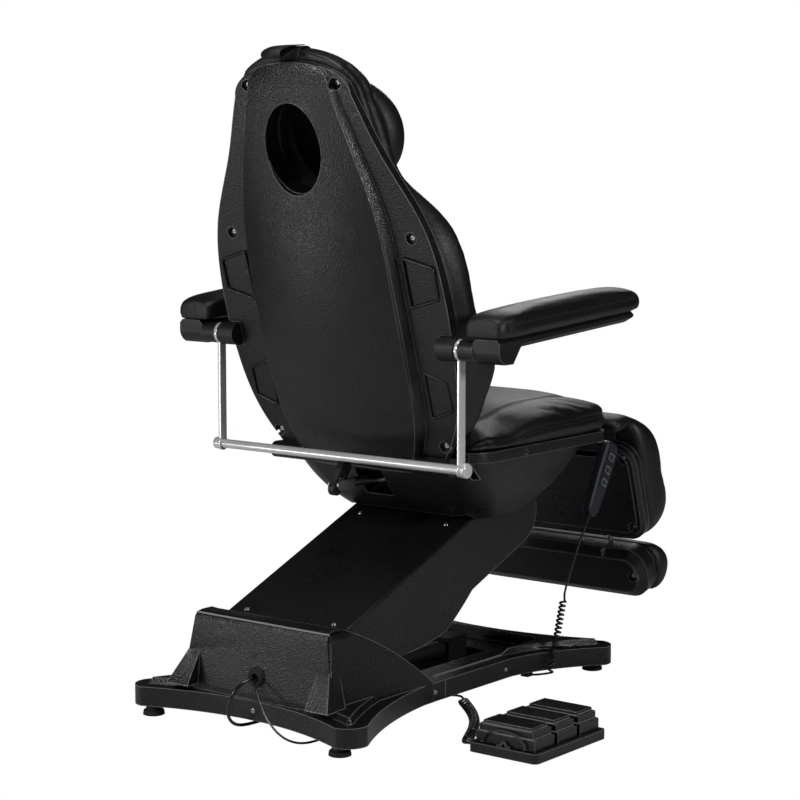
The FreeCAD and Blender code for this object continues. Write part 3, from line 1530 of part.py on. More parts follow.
def legrest_cushion():
    """The leg cushion, thin over the hinge and full below, with drawn-in sides."""
    rear = leg_shell_front + body_gap
    low = rear
    wide = leg_half_width + leg_cushion_overhang
    front = leg_cushion_front
    span = leg_bottom - leg_top
    down_shares = (0.0, 0.05, 0.16, 0.36, 0.6, 0.86, 0.96, 1.0)
    width_shares = (0.8, 0.9, 0.98, 1.0, 1.0, 0.985, 0.92, 0.82)
    front_shares = (0.12, 0.34, 0.68, 0.96, 1.0, 0.88, 0.6, 0.28)
    wires = []
    for down, width, ahead in zip(down_shares, width_shares, front_shares):
        z = -leg_top - down * span
        place = lambda across, up, z=z: vec(across, -up, z)
        wires.append(cushion_section(
            wide * width, low, low + ahead * (front - low), leg_cushion_crown, back_side_bulge, place))
    return Part.makeLoft(wires, True, False).fuse(legrest_roll(wide)).removeSplitter()


def legrest_roll(wide):
    """The roll that closes the gap to the seat above the hinge, notched for the seat's ears."""
    rise = leg_roll_top - leg_roll_bottom
    wires = []
    for share, back, width in zip(leg_roll_rise_shares, leg_roll_back_shares, leg_roll_width_shares):
        z = leg_roll_bottom + share * rise
        place = lambda across, up, z=z: vec(across, -up, z)
        front = leg_shell_front + leg_cushion_overhang
        wires.append(cushion_section(
            wide * width, -leg_roll_back * back, front * back, leg_cushion_crown, back_side_bulge, place))
    roll = Part.makeLoft(wires, True, False)
    slot = box(
        vec(leg_hinge_x - steel_sheet, -leg_roll_back, leg_roll_bottom - overrun),
        vec(leg_hinge_x + steel_sheet * 3, leg_roll_back + overrun, leg_roll_top + overrun))
    return roll.cut(fuse_all(pair(slot)))


def legrest_screws():
    return [
        button_screw(
            vec(x, -leg_shell_rear - pocket_depth, -down), vec(0, 1, 0), shell_screw_radius,
            shell_screw_height)
        for x, down in leg_screw_places
    ]


def footrest_shell():
    shell = panel_shell(
        leg_half_width, foot_top, foot_bottom, foot_rest_rear, foot_rest_parting, leg_shell_wall,
        leg_corner_radius)
    shell = screw_cups(shell, foot_screw_places, foot_rest_rear, leg_shell_wall)
    for x in (-foot_rod_x, foot_rod_x):
        low = vec(x, -foot_rod_ahead, -foot_top - foot_rod_seat)
        socket = Part.makeCylinder(foot_rod_radius * foot_socket_share, foot_rod_seat, low)
        rib = box(
            vec(x - leg_shell_wall / 2, -foot_rod_ahead, low.z),
            vec(x + leg_shell_wall / 2, -foot_rest_rear - leg_shell_wall / 2, -foot_top - leg_shell_wall / 2))
        hole = Part.makeCylinder(foot_rod_radius, foot_rod_seat + overrun, low)
        shell = shell.fuse(socket).fuse(rib).cut(hole)
    trim = box(
        vec(-leg_half_width, -foot_rest_parting - base_half_width, -foot_bottom),
        vec(leg_half_width, -foot_rest_parting, -foot_top + overrun))
    return shell.cut(trim).removeSplitter()


def footrest_cushion():
    low = foot_rest_parting + body_gap
    wide = leg_half_width + leg_cushion_overhang
    down_shares = (0.0, 0.1, 0.3, 0.6, 0.88, 1.0)
    width_shares = (0.86, 0.95, 1.0, 1.0, 0.95, 0.84)
    front_shares = (0.3, 0.68, 0.96, 1.0, 0.72, 0.34)
    wires = []
    for down, width, ahead in zip(down_shares, width_shares, front_shares):
        z = -foot_top - down * foot_rest_length
        place = lambda across, up, z=z: vec(across, -up, z)
        wires.append(cushion_section(
            wide * width, low, low + ahead * (foot_rest_front - low), leg_cushion_crown, back_side_bulge,
            place))
    return Part.makeLoft(wires, True, False)


def footrest_rods():
    rods = []
    for x in (-foot_rod_x, foot_rod_x):
        low = vec(x, -foot_rod_ahead, -foot_top - foot_rod_seat)
        rods.append(Part.makeCylinder(foot_rod_radius, foot_top + foot_rod_seat - foot_rod_top, low))
    return rods


def footrest_screws():
    return [
        button_screw(
            vec(x, -foot_rest_rear - pocket_depth, -down), vec(0, 1, 0), shell_screw_radius,
            shell_screw_height)
        for x, down in foot_screw_places
    ]


# Handset, drawn upright with its top middle at the origin and its face towards -X

def handset_wire(x, inset):
    """The handset's outline, wide at the keys and narrow at the lead."""
    half = handset_width / 2 - inset
    waist = handset_waist / 2 - inset
    length = handset_length
    shoulder = -handset_width / 4
    taper = -handset_length * handset_taper_share
    hip = -length + handset_waist * handset_hip_share
    corner_share = 0.72
    point = lambda y, z: vec(x, y, z)
    return drawn_wire(point(half, shoulder), [
        (point(half * corner_share, shoulder * handset_brow_share - inset), point(0, -inset)),
        (point(-half * corner_share, shoulder * handset_brow_share - inset), point(-half, shoulder)),
        (point(-half, taper),),
        (point(-waist, hip),),
        (point(-waist * corner_share, hip - waist * handset_chin_share), point(0, -length + inset)),
        (point(waist * corner_share, hip - waist * handset_chin_share), point(waist, hip)),
        (point(half, taper),),
    ])


def handset_case():
    depth = handset_thickness / 2
    bevel = handset_thickness / 6
    wires = [
        handset_wire(-depth, bevel), handset_wire(-depth + bevel, 0),
        handset_wire(depth - bevel, 0), handset_wire(depth, bevel),
    ]
    case = Part.makeLoft(wires, True, True)
    for middle in key_middles():
        reach = key_size / 2 + key_gap
        well = box(
            vec(-depth - overrun, -reach, middle - reach), vec(-depth + key_depth, reach, middle + reach))
        case = case.cut(well)
    return case


def key_middles():
    return [-key_first - index * key_pitch for index in range(3)]


def handset_key(index):
    """A rocker key with a shallow dish across its middle."""
    middle = key_middles()[index]
    half = key_size / 2
    face = -handset_thickness / 2
    root = face + key_depth - key_gap * 3
    top = face - key_height
    high = half * key_top_share
    deep = half * key_root_share
    profile = [
        vec(root, 0, middle - deep), vec(face, 0, middle - half), vec(top, 0, middle - high),
        vec(top + key_height * key_dish_share, 0, middle), vec(top, 0, middle + high),
        vec(face, 0, middle + half), vec(root, 0, middle + deep),
    ]
    key = Part.Face(Part.makePolygon(profile + profile[:1])).extrude(vec(0, key_size, 0))
    key.translate(vec(0, -half, 0))
    return key


def handset_placed(shape):
    return turned(shape, -handset_angle, vec(handset_x, handset_top_y, handset_top_z))


def handset_hook():
    """A bent wire below the seat's rim that holds the handset by its top."""
    wire = hook_wire_radius
    top = seat_bottom_z - seat_tray_wall
    x = handset_x + handset_thickness / 2 + wire + body_gap
    y = handset_top_y
    low = handset_top_z - handset_width / 2
    knee = handset_top_z + wire / 2
    stem = hook_stem_x
    plate = box(
        vec(stem - wire * 3, y - wire * 4, top - seat_tray_wall), vec(stem + wire * 3, y + wire * 4, top))
    pieces = [plate, rod_between(vec(x, y - wire * 2, low), vec(x, y + wire * 2, low), wire)]
    for across in (y - wire * 2, y + wire * 2):
        bends = [
            vec(stem, across, top - wire), vec(stem, across, knee), vec(x, across, knee), vec(x, across, low)]
        for start, end in zip(bends, bends[1:]):
            pieces.append(rod_between(start, end, wire))
            pieces.append(Part.makeSphere(wire, end))
    return fuse_all(pieces)


# Foot control

def pedal_tray():
    """A low tray with end walls, a rounded rib and two dividers between the pedals."""
    x = pedal_tray_x
    y = pedal_tray_y
    half = pedal_tray_half_width
    long_half = pedal_tray_half_length
    block = box(vec(x - half, y - long_half, 0), vec(x + half, y + long_half, pedal_tray_height))
    upright = [edge for edge in block.Edges if edge.BoundBox.ZLength > pedal_tray_height / 2]
    block = block.makeFillet(pedal_wall * 3, upright)
    room = box(
        vec(x - half + pedal_wall * 2, y - long_half + pedal_wall, pedal_tray_floor),
        vec(x + half - pedal_wall * 2, y + long_half - pedal_wall, pedal_tray_height + overrun))
    tray = block.cut(room)
    height = pedal_pivot_z + pedal_pin_radius * 2
    posts = []
    bores = []
    for edge in range(4):
        middle = y + (edge - 1.5) * pedal_pitch
        post = side_post(x, middle, height)
        posts.append(post)
    pin_start = vec(x, y - long_half, pedal_pivot_z)
    bores.append(Part.makeCylinder(pedal_pin_radius + running_gap, 2 * long_half, pin_start, axis_y))
    return fuse_all([tray] + posts).cut(fuse_all(bores))


def side_post(x, middle, height):
    half = pedal_wall * pedal_post_share
    radius = pedal_pin_radius * 2
    stem = box(
        vec(x - radius * 2, middle - half, overrun), vec(x + radius * 2, middle + half, pedal_pivot_z))
    head = Part.makeCylinder(radius, 2 * half, vec(x, middle - half, pedal_pivot_z), axis_y)
    return stem.fuse(head)


def rocker_pedal(index):
    """One hooded rocker pedal with its pivot stubs."""
    x = pedal_tray_x
    y = pedal_tray_y + (index - 1) * pedal_pitch
    half = pedal_half_length
    skirt = pedal_skirt_z
    top = pedal_top_z
    nose = pedal_nose
    brow = top - nose * pedal_nose_share
    crown = top - nose * pedal_crown_share
    points = [
        vec(x - half, 0, skirt + nose), vec(x - half, 0, brow), vec(x - half + nose, 0, crown),
        vec(x, 0, top), vec(x + half - nose, 0, crown), vec(x + half, 0, brow),
        vec(x + half, 0, skirt + nose), vec(x, 0, skirt),
    ]
    wide = pedal_half_width
    block = Part.Face(Part.makePolygon(points + points[:1])).extrude(vec(0, 2 * wide, 0))
    block.translate(vec(0, y - wide, 0))
    groove = box(
        vec(x - nose / 3, y - wide - overrun, top - nose / 4),
        vec(x + nose / 3, y + wide + overrun, top + overrun))
    pin_half = wide + (pedal_pitch / 2 - wide) - pedal_wall * pedal_pin_share
    pin = Part.makeCylinder(pedal_pin_radius, 2 * pin_half, vec(x, y - pin_half, pedal_pivot_z), axis_y)
    return block.cut(groove).fuse(pin).removeSplitter()


# Cords

def arc_corner(before, corner, after):
    """The tangent arc at a corner of a route, as large as its two runs allow."""
    into = (before - corner)
    out = (after - corner)
    shorter_share = 0.45
    trim = shorter_share * min(into.Length, out.Length)
    turn = math.pi - into.getAngle(out)
    start = corner + into.normalize() * trim
    end = corner + out.normalize() * trim
    radius = trim / math.tan(turn / 2)
    middle = (start + end) * 0.5
    toward = (corner - middle)
    sag = (end - start).Length / 2 * math.tan(turn / 4)
    return start, middle + toward.normalize() * sag, end, radius, turn


def route_tube(points, diameter):
    """A round tube along straight runs joined by tangent arcs; prints its radii."""
    places = [vec(*point) for point in points]
    edges = []
    here = places[0]
    radii = []
    for before, corner, after in zip(places, places[1:], places[2:]):
        start, middle, end, radius, turn = arc_corner(before, corner, after)
        if (start - here).Length > running_gap:
            edges.append(Part.LineSegment(here, start).toShape())
        edges.append(Part.Arc(start, middle, end).toShape())
        radii.append(round(radius))
        here = end
    edges.append(Part.LineSegment(here, places[-1]).toShape())
    path = Part.Wire(edges)
    circle = Part.Wire([Part.Circle(places[0], places[1] - places[0], diameter / 2).toShape()])
    tube = path.makePipeShell([circle], True, False)
    expected = math.pi * diameter ** 2 / 4 * path.Length
    share = round(tube.Volume / expected, 3)
    print("cord radii", radii, "length", round(path.Length), "volume share", share)
    return tube


def biarc(start, start_way, end, end_way):
    """Two arcs that join two points along two directions."""
    gap = end - start
    ways = start_way + end_way
    spread = 2 * (1 - start_way.dot(end_way))
    along = gap.dot(ways)
    if spread < 1e-9:
        reach = gap.dot(gap) / (4 * gap.dot(end_way))
    else:
        reach = (math.sqrt(along ** 2 + spread * gap.dot(gap)) - along) / spread
    first = start + start_way * reach
    second = end - end_way * reach
    joint = (first + second) * 0.5
    return [bent_edge(start, first, joint), bent_edge(joint, second, end)]


def bent_edge(start, control, end):
    middle = (start + end) * 0.5
    toward = control - middle
    if toward.Length < running_gap / 10:
        return Part.LineSegment(start, end).toShape()
    half_turn = (control - start).getAngle(end - start)
    sag = (end - start).Length / 2 * math.tan(half_turn / 2)
    return Part.Arc(start, middle + toward.normalize() * sag, end).toShape()


def wound_tube(points, ways, diameter, name):
    """One unbroken tube through points along given directions; prints its least gap to itself."""
    edges = []
    count = len(points) - 1
    for index in range(count):
        edges += biarc(points[index], ways[index], points[index + 1], ways[index + 1])
    path = Part.Wire(edges)
    circle = Part.Wire([Part.Circle(points[0], ways[0], diameter / 2).toShape()])
    tube = path.makePipeShell([circle], True, False)
    print(name, "length", round(path.Length), "least gap", round(least_gap(path, diameter), 2))
    return tube


def least_gap(path, diameter):
    """The least clear distance between stretches of a wound tube, measured on points."""
    samples = path.discretize(Distance=diameter / 2)
    skip = 8
    least = float("inf")
    for index, point in enumerate(samples):
        for other in samples[index + skip:]:
            least = min(least, (point - other).Length)
    return least - diameter


def curled_cord(start, start_way, axis_start, axis_end, turns, end, end_way, diameter, name):
    """A helix of turns between two axis points, with straight ends."""
    span = axis_end - axis_start
    way = vec(span.x, span.y, span.z).normalize()
    first = way.cross(axis_z if abs(way.z) < steep_share else axis_x).normalize()
    second = way.cross(first)
    rise = span.Length / turns
    points = [start, start + start_way * diameter]
    ways = [start_way, start_way]
    quarter = math.pi / 2
    for index in range(4 * turns + 1):
        angle = index * quarter
        ahead = axis_start + way * (rise * index / 4)
        out = first * (curl_radius * math.cos(angle)) + second * (curl_radius * math.sin(angle))
        round_way = second * math.cos(angle) - first * math.sin(angle)
        points.append(ahead + out)
        ways.append((round_way * (math.tau * curl_radius) + way * rise).normalize())
    points += [end - end_way * diameter, end]
    ways += [end_way, end_way]
    return wound_tube(points, ways, diameter, name)


def pedal_curl():
    start = vec(*pedal_route[-1])
    start_way = (start - vec(*pedal_route[-2])).normalize()
    end = vec(*pedal_cord_exit)
    axis_start = start + vec(*pedal_curl_start)
    axis_end = end + vec(*pedal_curl_end)
    axis_start.z = axis_end.z = curl_radius + thin_diameter / 2 + body_gap
    return curled_cord(
        start, start_way, axis_start, axis_end, pedal_curl_count, end, vec(-1, 0, 0), thin_diameter,
        "pedal curl")


def handset_curl():
    start = vec(*handset_route[-1])
    start_way = (start - vec(*handset_route[-2])).normalize()
    end = vec(*handset_gland_face)
    axis_start = start + start_way * (3 * thin_diameter)
    axis_end = end + vec(*handset_curl_end)
    return curled_cord(
        start, start_way, axis_start, axis_end, handset_curl_count, end, vec(1, 0, 0), thin_diameter,
        "handset curl")


def mains_coil():
    """The spare mains lead, wound in two layers under the base."""
    start = vec(*mains_route[-1])
    step = mains_diameter * coil_step_share
    spread = (coil_turns / 2 - coil_quarter_turn) * step / 2
    outer = coil_radius + spread
    inner = coil_radius - spread
    middle = vec(start.x + outer, start.y, 0)
    low = start.z
    high = low + step
    half_turns = coil_turns * 4
    points = []
    for index in range(half_turns + 1):
        share = 1 - abs(2 * index / half_turns - 1)
        radius = outer + (inner - outer) * min(1, share * coil_turns / (coil_turns - 2 * coil_quarter_turn))
        climb = min(1, max(0, (index - half_turns / 2) / 2 + 2 * coil_quarter_turn))
        angle = math.pi + index * math.pi / 2
        height = low + climb * (high - low)
        points.append(middle + vec(radius * math.cos(angle), radius * math.sin(angle), height))
    ways = []
    for index, point in enumerate(points):
        angle = math.pi + index * math.pi / 2
        level = vec(-math.sin(angle), math.cos(angle))
        before = points[max(index - 1, 0)]
        after = points[min(index + 1, half_turns)]
        lift = (after.z - before.z) / (math.pi * coil_radius)
        out = (after - middle).Length - (before - middle).Length
        radial = vec(math.cos(angle), math.sin(angle)) * (out / (math.pi * coil_radius))
        ways.append((level + radial + vec(0, 0, lift)).normalize())
    ways[0] = (start - vec(*mains_route[-2])).normalize()
    points.append(plug_face())
    ways.append(vec(0, -1, 0))
    return wound_tube(points, ways, mains_diameter, "mains coil")


def plug_face():
    start = vec(*mains_route[-1])
    side_x = start.x - plug_half_width * plug_offset_share
    return vec(side_x, start.y - 2 * coil_radius, plug_thickness / 2 + body_gap)


def mains_plug():
    """A flat moulded plug with two blades, lying under the base."""
    face = plug_face()
    wide = plug_neck_radius * plug_neck_share
    neck = Part.makeCone(plug_neck_radius, wide, plug_neck_length, face, vec(0, -1, 0))
    rear = face.y - plug_neck_length
    body = box(
        vec(face.x - plug_half_width, rear - plug_length, face.z - plug_thickness / 2),
        vec(face.x + plug_half_width, rear, face.z + plug_thickness / 2))
    edges = [edge for edge in body.Edges if edge.BoundBox.YLength > plug_length / 2]
    body = body.makeFillet(plug_thickness / 4, edges)
    blades = []
    for side in (-1, 1):
        x = face.x + side * blade_pitch / 2 - blade_thickness / 2
        blades.append(box(
            vec(x, rear - plug_length - blade_length, face.z - blade_height / 2),
            vec(x + blade_thickness, rear - plug_length + overrun, face.z + blade_height / 2)))
    return fuse_all([neck, body] + blades)


def handset_gland():
    """The block under the base that the handset's lead goes into."""
    face = vec(*handset_gland_face)
    half = thin_diameter
    return box(
        vec(face.x, face.y - half * 2, face.z - half), vec(face.x + half * 4, face.y + half * 2, floor_z))


arm_origin = vec(0, arm_pivot_y, arm_pivot_z)
back_origin = vec(0, back_hinge_y, back_hinge_z)
leg_origin = vec(0, leg_hinge_y, leg_hinge_z)
on_arm = lambda shape: turned(shape, arm_angle, arm_origin)
on_back = lambda shape: turned(shape, back_tilt, back_origin)
on_leg = lambda shape: turned(shape, leg_tilt, leg_origin)


def placed(move, shapes):
    return [move(shape) for shape in (shapes if isinstance(shapes, list) else [shapes])]


save("base_frame", base_frame())
save("base_feet", base_feet())
save("base_rear_cover", base_rear_cover())
save("base_front_cover", base_front_cover())
save("base_screws", base_screws())
save("cable_glands", [cable_grommet(), handset_gland()])
save("control_box", control_box())
save("arm_pivot_pins", pivot_pins(arm_pivot_y, arm_pivot_z))
save("lift_motor", mounted_motor(1, lift_line_z, 0, lift_mouth_y, lift_motor_length, base_plate_z))
save("lift_rod", push_rod(1, lift_line_z, 0, lift_mouth_y, lift_pin_y, lift_motor_length * rod_kept_share))
save("arm_frame", placed(on_arm, arm_frame()))
save("arm_cover", placed(on_arm, arm_cover()))
save("arm_screws", placed(on_arm, arm_screws()))
save("lower_links", lower_links())
save("seat_frame", seat_frame())
save("seat_pins", seat_pins())
save("seat_shell", seat_shell())
save("seat_lower_cover", seat_lower_cover())
save("seat_cushion", seat_cushion())
save("back_motor", mounted_motor(1, back_line_z, back_lever_x, back_mouth_y, back_motor_length, seat_deck_z))
back_kept = back_motor_length * rod_kept_share
save("back_rod", push_rod(1, back_line_z, back_lever_x, back_mouth_y, back_pin_y, back_kept))
save("leg_motor", mounted_motor(-1, leg_line_z, leg_lever_x, leg_mouth_y, leg_motor_length, seat_deck_z))
leg_kept = leg_motor_length * rod_spare_share
save("leg_rod", push_rod(-1, leg_line_z, leg_lever_x, leg_mouth_y, leg_pin_y, leg_kept))
save("back_frame", placed(on_back, back_frame()))
save("back_shell", placed(on_back, back_shell()))
save("back_cushion", placed(on_back, back_cushion()))
save("head_pillow", placed(on_back, head_pillow()))
save("pillow_strap", placed(on_back, pillow_strap()))
save("back_screws", placed(on_back, back_screws()))
for side_name, side_move in (("left", lambda shape: shape), ("right", mirrored)):
    save("armrest_" + side_name + "_pad", placed(side_move, armrest_pad()))
    save("armrest_" + side_name + "_cover", placed(side_move, armrest_cover()))
    save("roll_arm_" + side_name, placed(side_move, roll_arm()))
save("roll_bar", roll_bar())
save("legrest_frame", placed(on_leg, legrest_frame()))
save("legrest_shell", placed(on_leg, legrest_shell()))
save("legrest_cushion", placed(on_leg, legrest_cushion()))
save("legrest_screws", placed(on_leg, legrest_screws()))
save("footrest_shell", placed(on_leg, footrest_shell()))
save("footrest_cushion", placed(on_leg, footrest_cushion()))
save("footrest_rods", placed(on_leg, footrest_rods()))
save("footrest_screws", placed(on_leg, footrest_screws()))
save("handset_case", placed(handset_placed, handset_case()))
for index, key_name in enumerate(("key_upper", "key_middle", "key_lower")):
    save(key_name, placed(handset_placed, handset_key(index)))
save("handset_hook", handset_hook())
save("pedal_tray", pedal_tray())
for index, pedal_name in enumerate(("pedal_front", "pedal_middle", "pedal_rear")):
    save(pedal_name, rocker_pedal(index))
save("mains_lead", route_tube(mains_route, mains_diameter))
save("mains_coil", mains_coil())
save("mains_plug", mains_plug())
save("pedal_lead", route_tube(pedal_route, thin_diameter))
save("pedal_curl", pedal_curl())
save("handset_lead", route_tube(handset_route, thin_diameter))
save("handset_curl", handset_curl())
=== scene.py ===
import json
import logging
import math
from collections.abc import Callable, Sequence
from dataclasses import dataclass, field
from enum import Enum

import bmesh
import bpy
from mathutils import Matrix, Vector
from mathutils.bvhtree import BVHTree
from mathutils.kdtree import KDTree


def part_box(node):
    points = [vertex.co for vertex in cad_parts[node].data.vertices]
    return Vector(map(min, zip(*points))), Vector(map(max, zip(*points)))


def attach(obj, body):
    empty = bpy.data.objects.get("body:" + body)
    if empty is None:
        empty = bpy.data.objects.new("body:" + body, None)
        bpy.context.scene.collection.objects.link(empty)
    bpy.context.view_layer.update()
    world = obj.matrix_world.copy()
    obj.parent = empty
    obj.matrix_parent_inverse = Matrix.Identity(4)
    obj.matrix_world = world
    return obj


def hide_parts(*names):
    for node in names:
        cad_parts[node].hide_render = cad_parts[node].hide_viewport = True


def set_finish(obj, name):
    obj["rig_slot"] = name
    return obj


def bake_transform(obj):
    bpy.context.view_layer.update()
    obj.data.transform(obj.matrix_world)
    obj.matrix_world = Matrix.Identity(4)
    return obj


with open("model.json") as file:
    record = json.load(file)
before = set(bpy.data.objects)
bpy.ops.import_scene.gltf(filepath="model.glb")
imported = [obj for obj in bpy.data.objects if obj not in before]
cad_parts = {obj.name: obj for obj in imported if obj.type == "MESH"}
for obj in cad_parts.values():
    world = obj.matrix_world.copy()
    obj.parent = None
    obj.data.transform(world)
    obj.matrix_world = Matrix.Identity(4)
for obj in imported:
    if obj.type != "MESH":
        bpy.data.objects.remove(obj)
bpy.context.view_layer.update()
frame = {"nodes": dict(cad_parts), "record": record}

logging.basicConfig(level=logging.INFO, format="%(name)s: %(message)s")
LOG = logging.getLogger("treatment_chair")

Point = tuple[float, float, float]
Colour = tuple[float, float, float]
Route = Sequence[Point | Vector]

MERGE_DISTANCE = 1e-5
FLAT_ANGLE = math.radians(0.6)
SHARP_ANGLE = math.radians(32)
CREASE_ANGLE = math.radians(44)
BEVEL_SEGMENTS = 2
BEVEL_PROFILE = 0.5
LINE_STEPS = 10
SIMULATED_FRAMES = 20
HELD_BEHIND = -0.4
STITCH_LIFT = 0.15
COVER_CLOTH = {
    "quality": 3, "mass": 0.3, "tension_stiffness": 40.0, "compression_stiffness": 40.0,
    "shear_stiffness": 20.0, "bending_stiffness": 4.0, "use_pressure": True, "vertex_group_mass": "held",
}
GLINT_TINT = 0.02
DUST_SHARE = 0.6
DUST_TINT = 0.025
SCUFF_ROUGHNESS = 0.35
COAT_ROUGHNESS = 0.2
FACING = 0.9
NORMAL_WEIGHT = 80
EDGE_REACH = 0.0035

BACK_TILT = math.radians(17.0)
LEG_TILT = math.radians(16.6)
HANDSET_TILT = math.radians(30.0)
BACK_HINGE = Vector((0.0, 0.2224, 0.535))
LEG_HINGE = Vector((0.0, -0.4526, 0.523))
BACK_RISE = Vector((0.0, math.sin(BACK_TILT), math.cos(BACK_TILT)))
UPWARDS = Vector((0.0, 0.0, 1.0))

NODE_BODY: dict[str, str] = {
    node: body for body, nodes in frame["record"]["behaviour"]["bodies"].items() for node in nodes
}
NODE_SLOT: dict[str, str] = {row["node"]: row["material_slot"] for row in frame["record"]["subparts"]}


def on_back(across: float, ahead: float, up: float) -> Vector:
    """A point of the back rest.

    Args:
        across: Metres to the sitter's left of its hinge.
        ahead: Metres ahead of it.
        up: Metres up from it.

    Returns:
        The point, in the chair's frame.
    """
    y = up * math.sin(BACK_TILT) - ahead * math.cos(BACK_TILT)
    z = up * math.cos(BACK_TILT) + ahead * math.sin(BACK_TILT)
    return BACK_HINGE + Vector((across, y, z))


def on_leg(across: float, ahead: float, down: float) -> Vector:
    """A point of the leg rest.

    Args:
        across: Metres to the sitter's left of its hinge.
        ahead: Metres ahead of it.
        down: Metres down from it.

    Returns:
        The point, in the chair's frame.
    """
    y = -down * math.sin(LEG_TILT) - ahead * math.cos(LEG_TILT)
    z = -down * math.cos(LEG_TILT) + ahead * math.sin(LEG_TILT)
    return LEG_HINGE + Vector((across, y, z))


def up_the_back(place: Vector) -> float:
    """How far a point lies up the back rest from its hinge."""
    return (place - BACK_HINGE).dot(BACK_RISE)


AHEAD_OF_BACK = on_back(0.0, 1.0, 0.0) - BACK_HINGE
AHEAD_OF_LEG = on_leg(0.0, 1.0, 0.0) - LEG_HINGE


class Texture(Enum):
    """The kinds of surface that a finish can have."""

    PEBBLE = "pebble"
    LEATHER = "leather"
    WEAVE = "weave"
    BRUSHED = "brushed"
    PLAIN = "plain"


class Shading:
    """Adds and links the nodes of one shader tree."""

    def __init__(self, tree: bpy.types.NodeTree) -> None:
        """Keeps the tree that the nodes go into, a material's, a group's or the world's."""
        self.tree = tree

    def add(self, kind: str, settings: dict | None = None, inputs: dict | None = None) -> bpy.types.Node:
        """Adds a node.

        Args:
            kind: The node's type name.
            settings: Values of the node's own properties.
            inputs: Values or sockets, by the input's name or number.

        Returns:
            The new node.
        """
        node = self.tree.nodes.new(kind)
        for key, value in (settings or {}).items():
            setattr(node, key, value)
        for key, value in (inputs or {}).items():
            if isinstance(value, bpy.types.NodeSocket):
                self.tree.links.new(value, node.inputs[key])
            else:
                node.inputs[key].default_value = value
        return node

    def link(self, start: bpy.types.NodeSocket, end: bpy.types.NodeSocket) -> None:
        """Links one socket to another."""
        self.tree.links.new(start, end)

    def ends(self) -> tuple[bpy.types.Node, bpy.types.Node, bpy.types.NodeSocket]:
        """A group's input node, its output node and the place on the piece."""
        place = self.add("ShaderNodeTexCoord").outputs["Object"]
        return self.add("NodeGroupInput"), self.add("NodeGroupOutput"), place

    def noise(self, place: bpy.types.NodeSocket, scale: object, detail: float = 2.0,
              roughness: float = 0.5) -> bpy.types.NodeSocket:
        """A noise pattern's value.

        Args:
            place: Where the pattern is read.
            scale: Its scale, as a number or a socket.
            detail: How many finer layers it has.
            roughness: How strong those are.

        Returns:
            The value's socket.
        """
        return self.add("ShaderNodeTexNoise", None, {
            "Vector": place, "Scale": scale, "Detail": detail, "Roughness": roughness}).outputs["Fac"]

    def spread(self, value: bpy.types.NodeSocket, low: float, high: float,
               to_low: float = 0.0, to_high: float = 1.0) -> bpy.types.NodeSocket:
        """Maps a value from one range to another.

        Args:
            value: The socket that is read.
            low: The value that gives to_low.
            high: The value that gives to_high.
            to_low: The lower result.
            to_high: The higher result.

        Returns:
            The mapped value's socket.
        """
        node = self.add("ShaderNodeMapRange", {"clamp": True}, {
            "Value": value, "From Min": low, "From Max": high, "To Min": to_low, "To Max": to_high})
        return node.outputs["Result"]

    def blend(self, share: bpy.types.NodeSocket, first: object, second: object) -> bpy.types.NodeSocket:
        """Mixes two colours.

        Args:
            share: The mask that turns first into second.
            first: A colour or a colour socket.
            second: A colour or a colour socket.

        Returns:
            The mixed colour's socket.
        """
        node = self.add("ShaderNodeMix", {"data_type": "RGBA"}, {"Factor": share, 6: first, 7: second})
        return node.outputs[2]


@dataclass(frozen=True)
class EffectGroup:
    """A shader node group that several finishes share.

    Attributes:
        name: The group's name.
        inputs: The names of its float inputs.
        outputs: The names of its float outputs.
    """

    name: str
    inputs: tuple[str, ...]
    outputs: tuple[str, ...]

    def tree(self) -> bpy.types.NodeTree:
        """The group's node tree, made at its first use.

        Returns:
            The node tree, with nodes in it.
        """
        made = bpy.data.node_groups.get(self.name)
        if made is not None:
            return made
        made = bpy.data.node_groups.new(self.name, "ShaderNodeTree")
        for socket in self.inputs:
            made.interface.new_socket(name=socket, in_out="INPUT", socket_type="NodeSocketFloat")
        for socket in self.outputs:
            made.interface.new_socket(name=socket, in_out="OUTPUT", socket_type="NodeSocketFloat")
        self.fill(Shading(made))
        return made

    def fill(self, shading: Shading) -> None:
        """Puts the group's nodes in; each kind of group has its own.

        Args:
            shading: The group's tree.
        """
        raise NotImplementedError


class PebbleGrain(EffectGroup):
    """Round grains of a moulded surface, with glints and broad patches."""

    def fill(self, shading: Shading) -> None:
        """Makes grains from cells, patches and glints from noise.

        Args:
            shading: The group's tree.
        """
        given, result, place = shading.ends()
        cells = shading.add("ShaderNodeTexVoronoi", {"feature": "SMOOTH_F1"},
                            {"Vector": place, "Scale": given.outputs["Scale"], "Smoothness": 0.6})
        wide = shading.noise(place, 9.0, 4.0)
        fine = shading.noise(place, given.outputs["Scale"], 3.0, 0.7)
        shading.link(shading.spread(cells.outputs["Distance"], 0.0, 0.7, 1.0, 0.0), result.inputs["Height"])
        shading.link(shading.spread(wide, 0.3, 0.7), result.inputs["Patches"])
        shading.link(shading.spread(fine, 0.56, 0.72), result.inputs["Glints"])


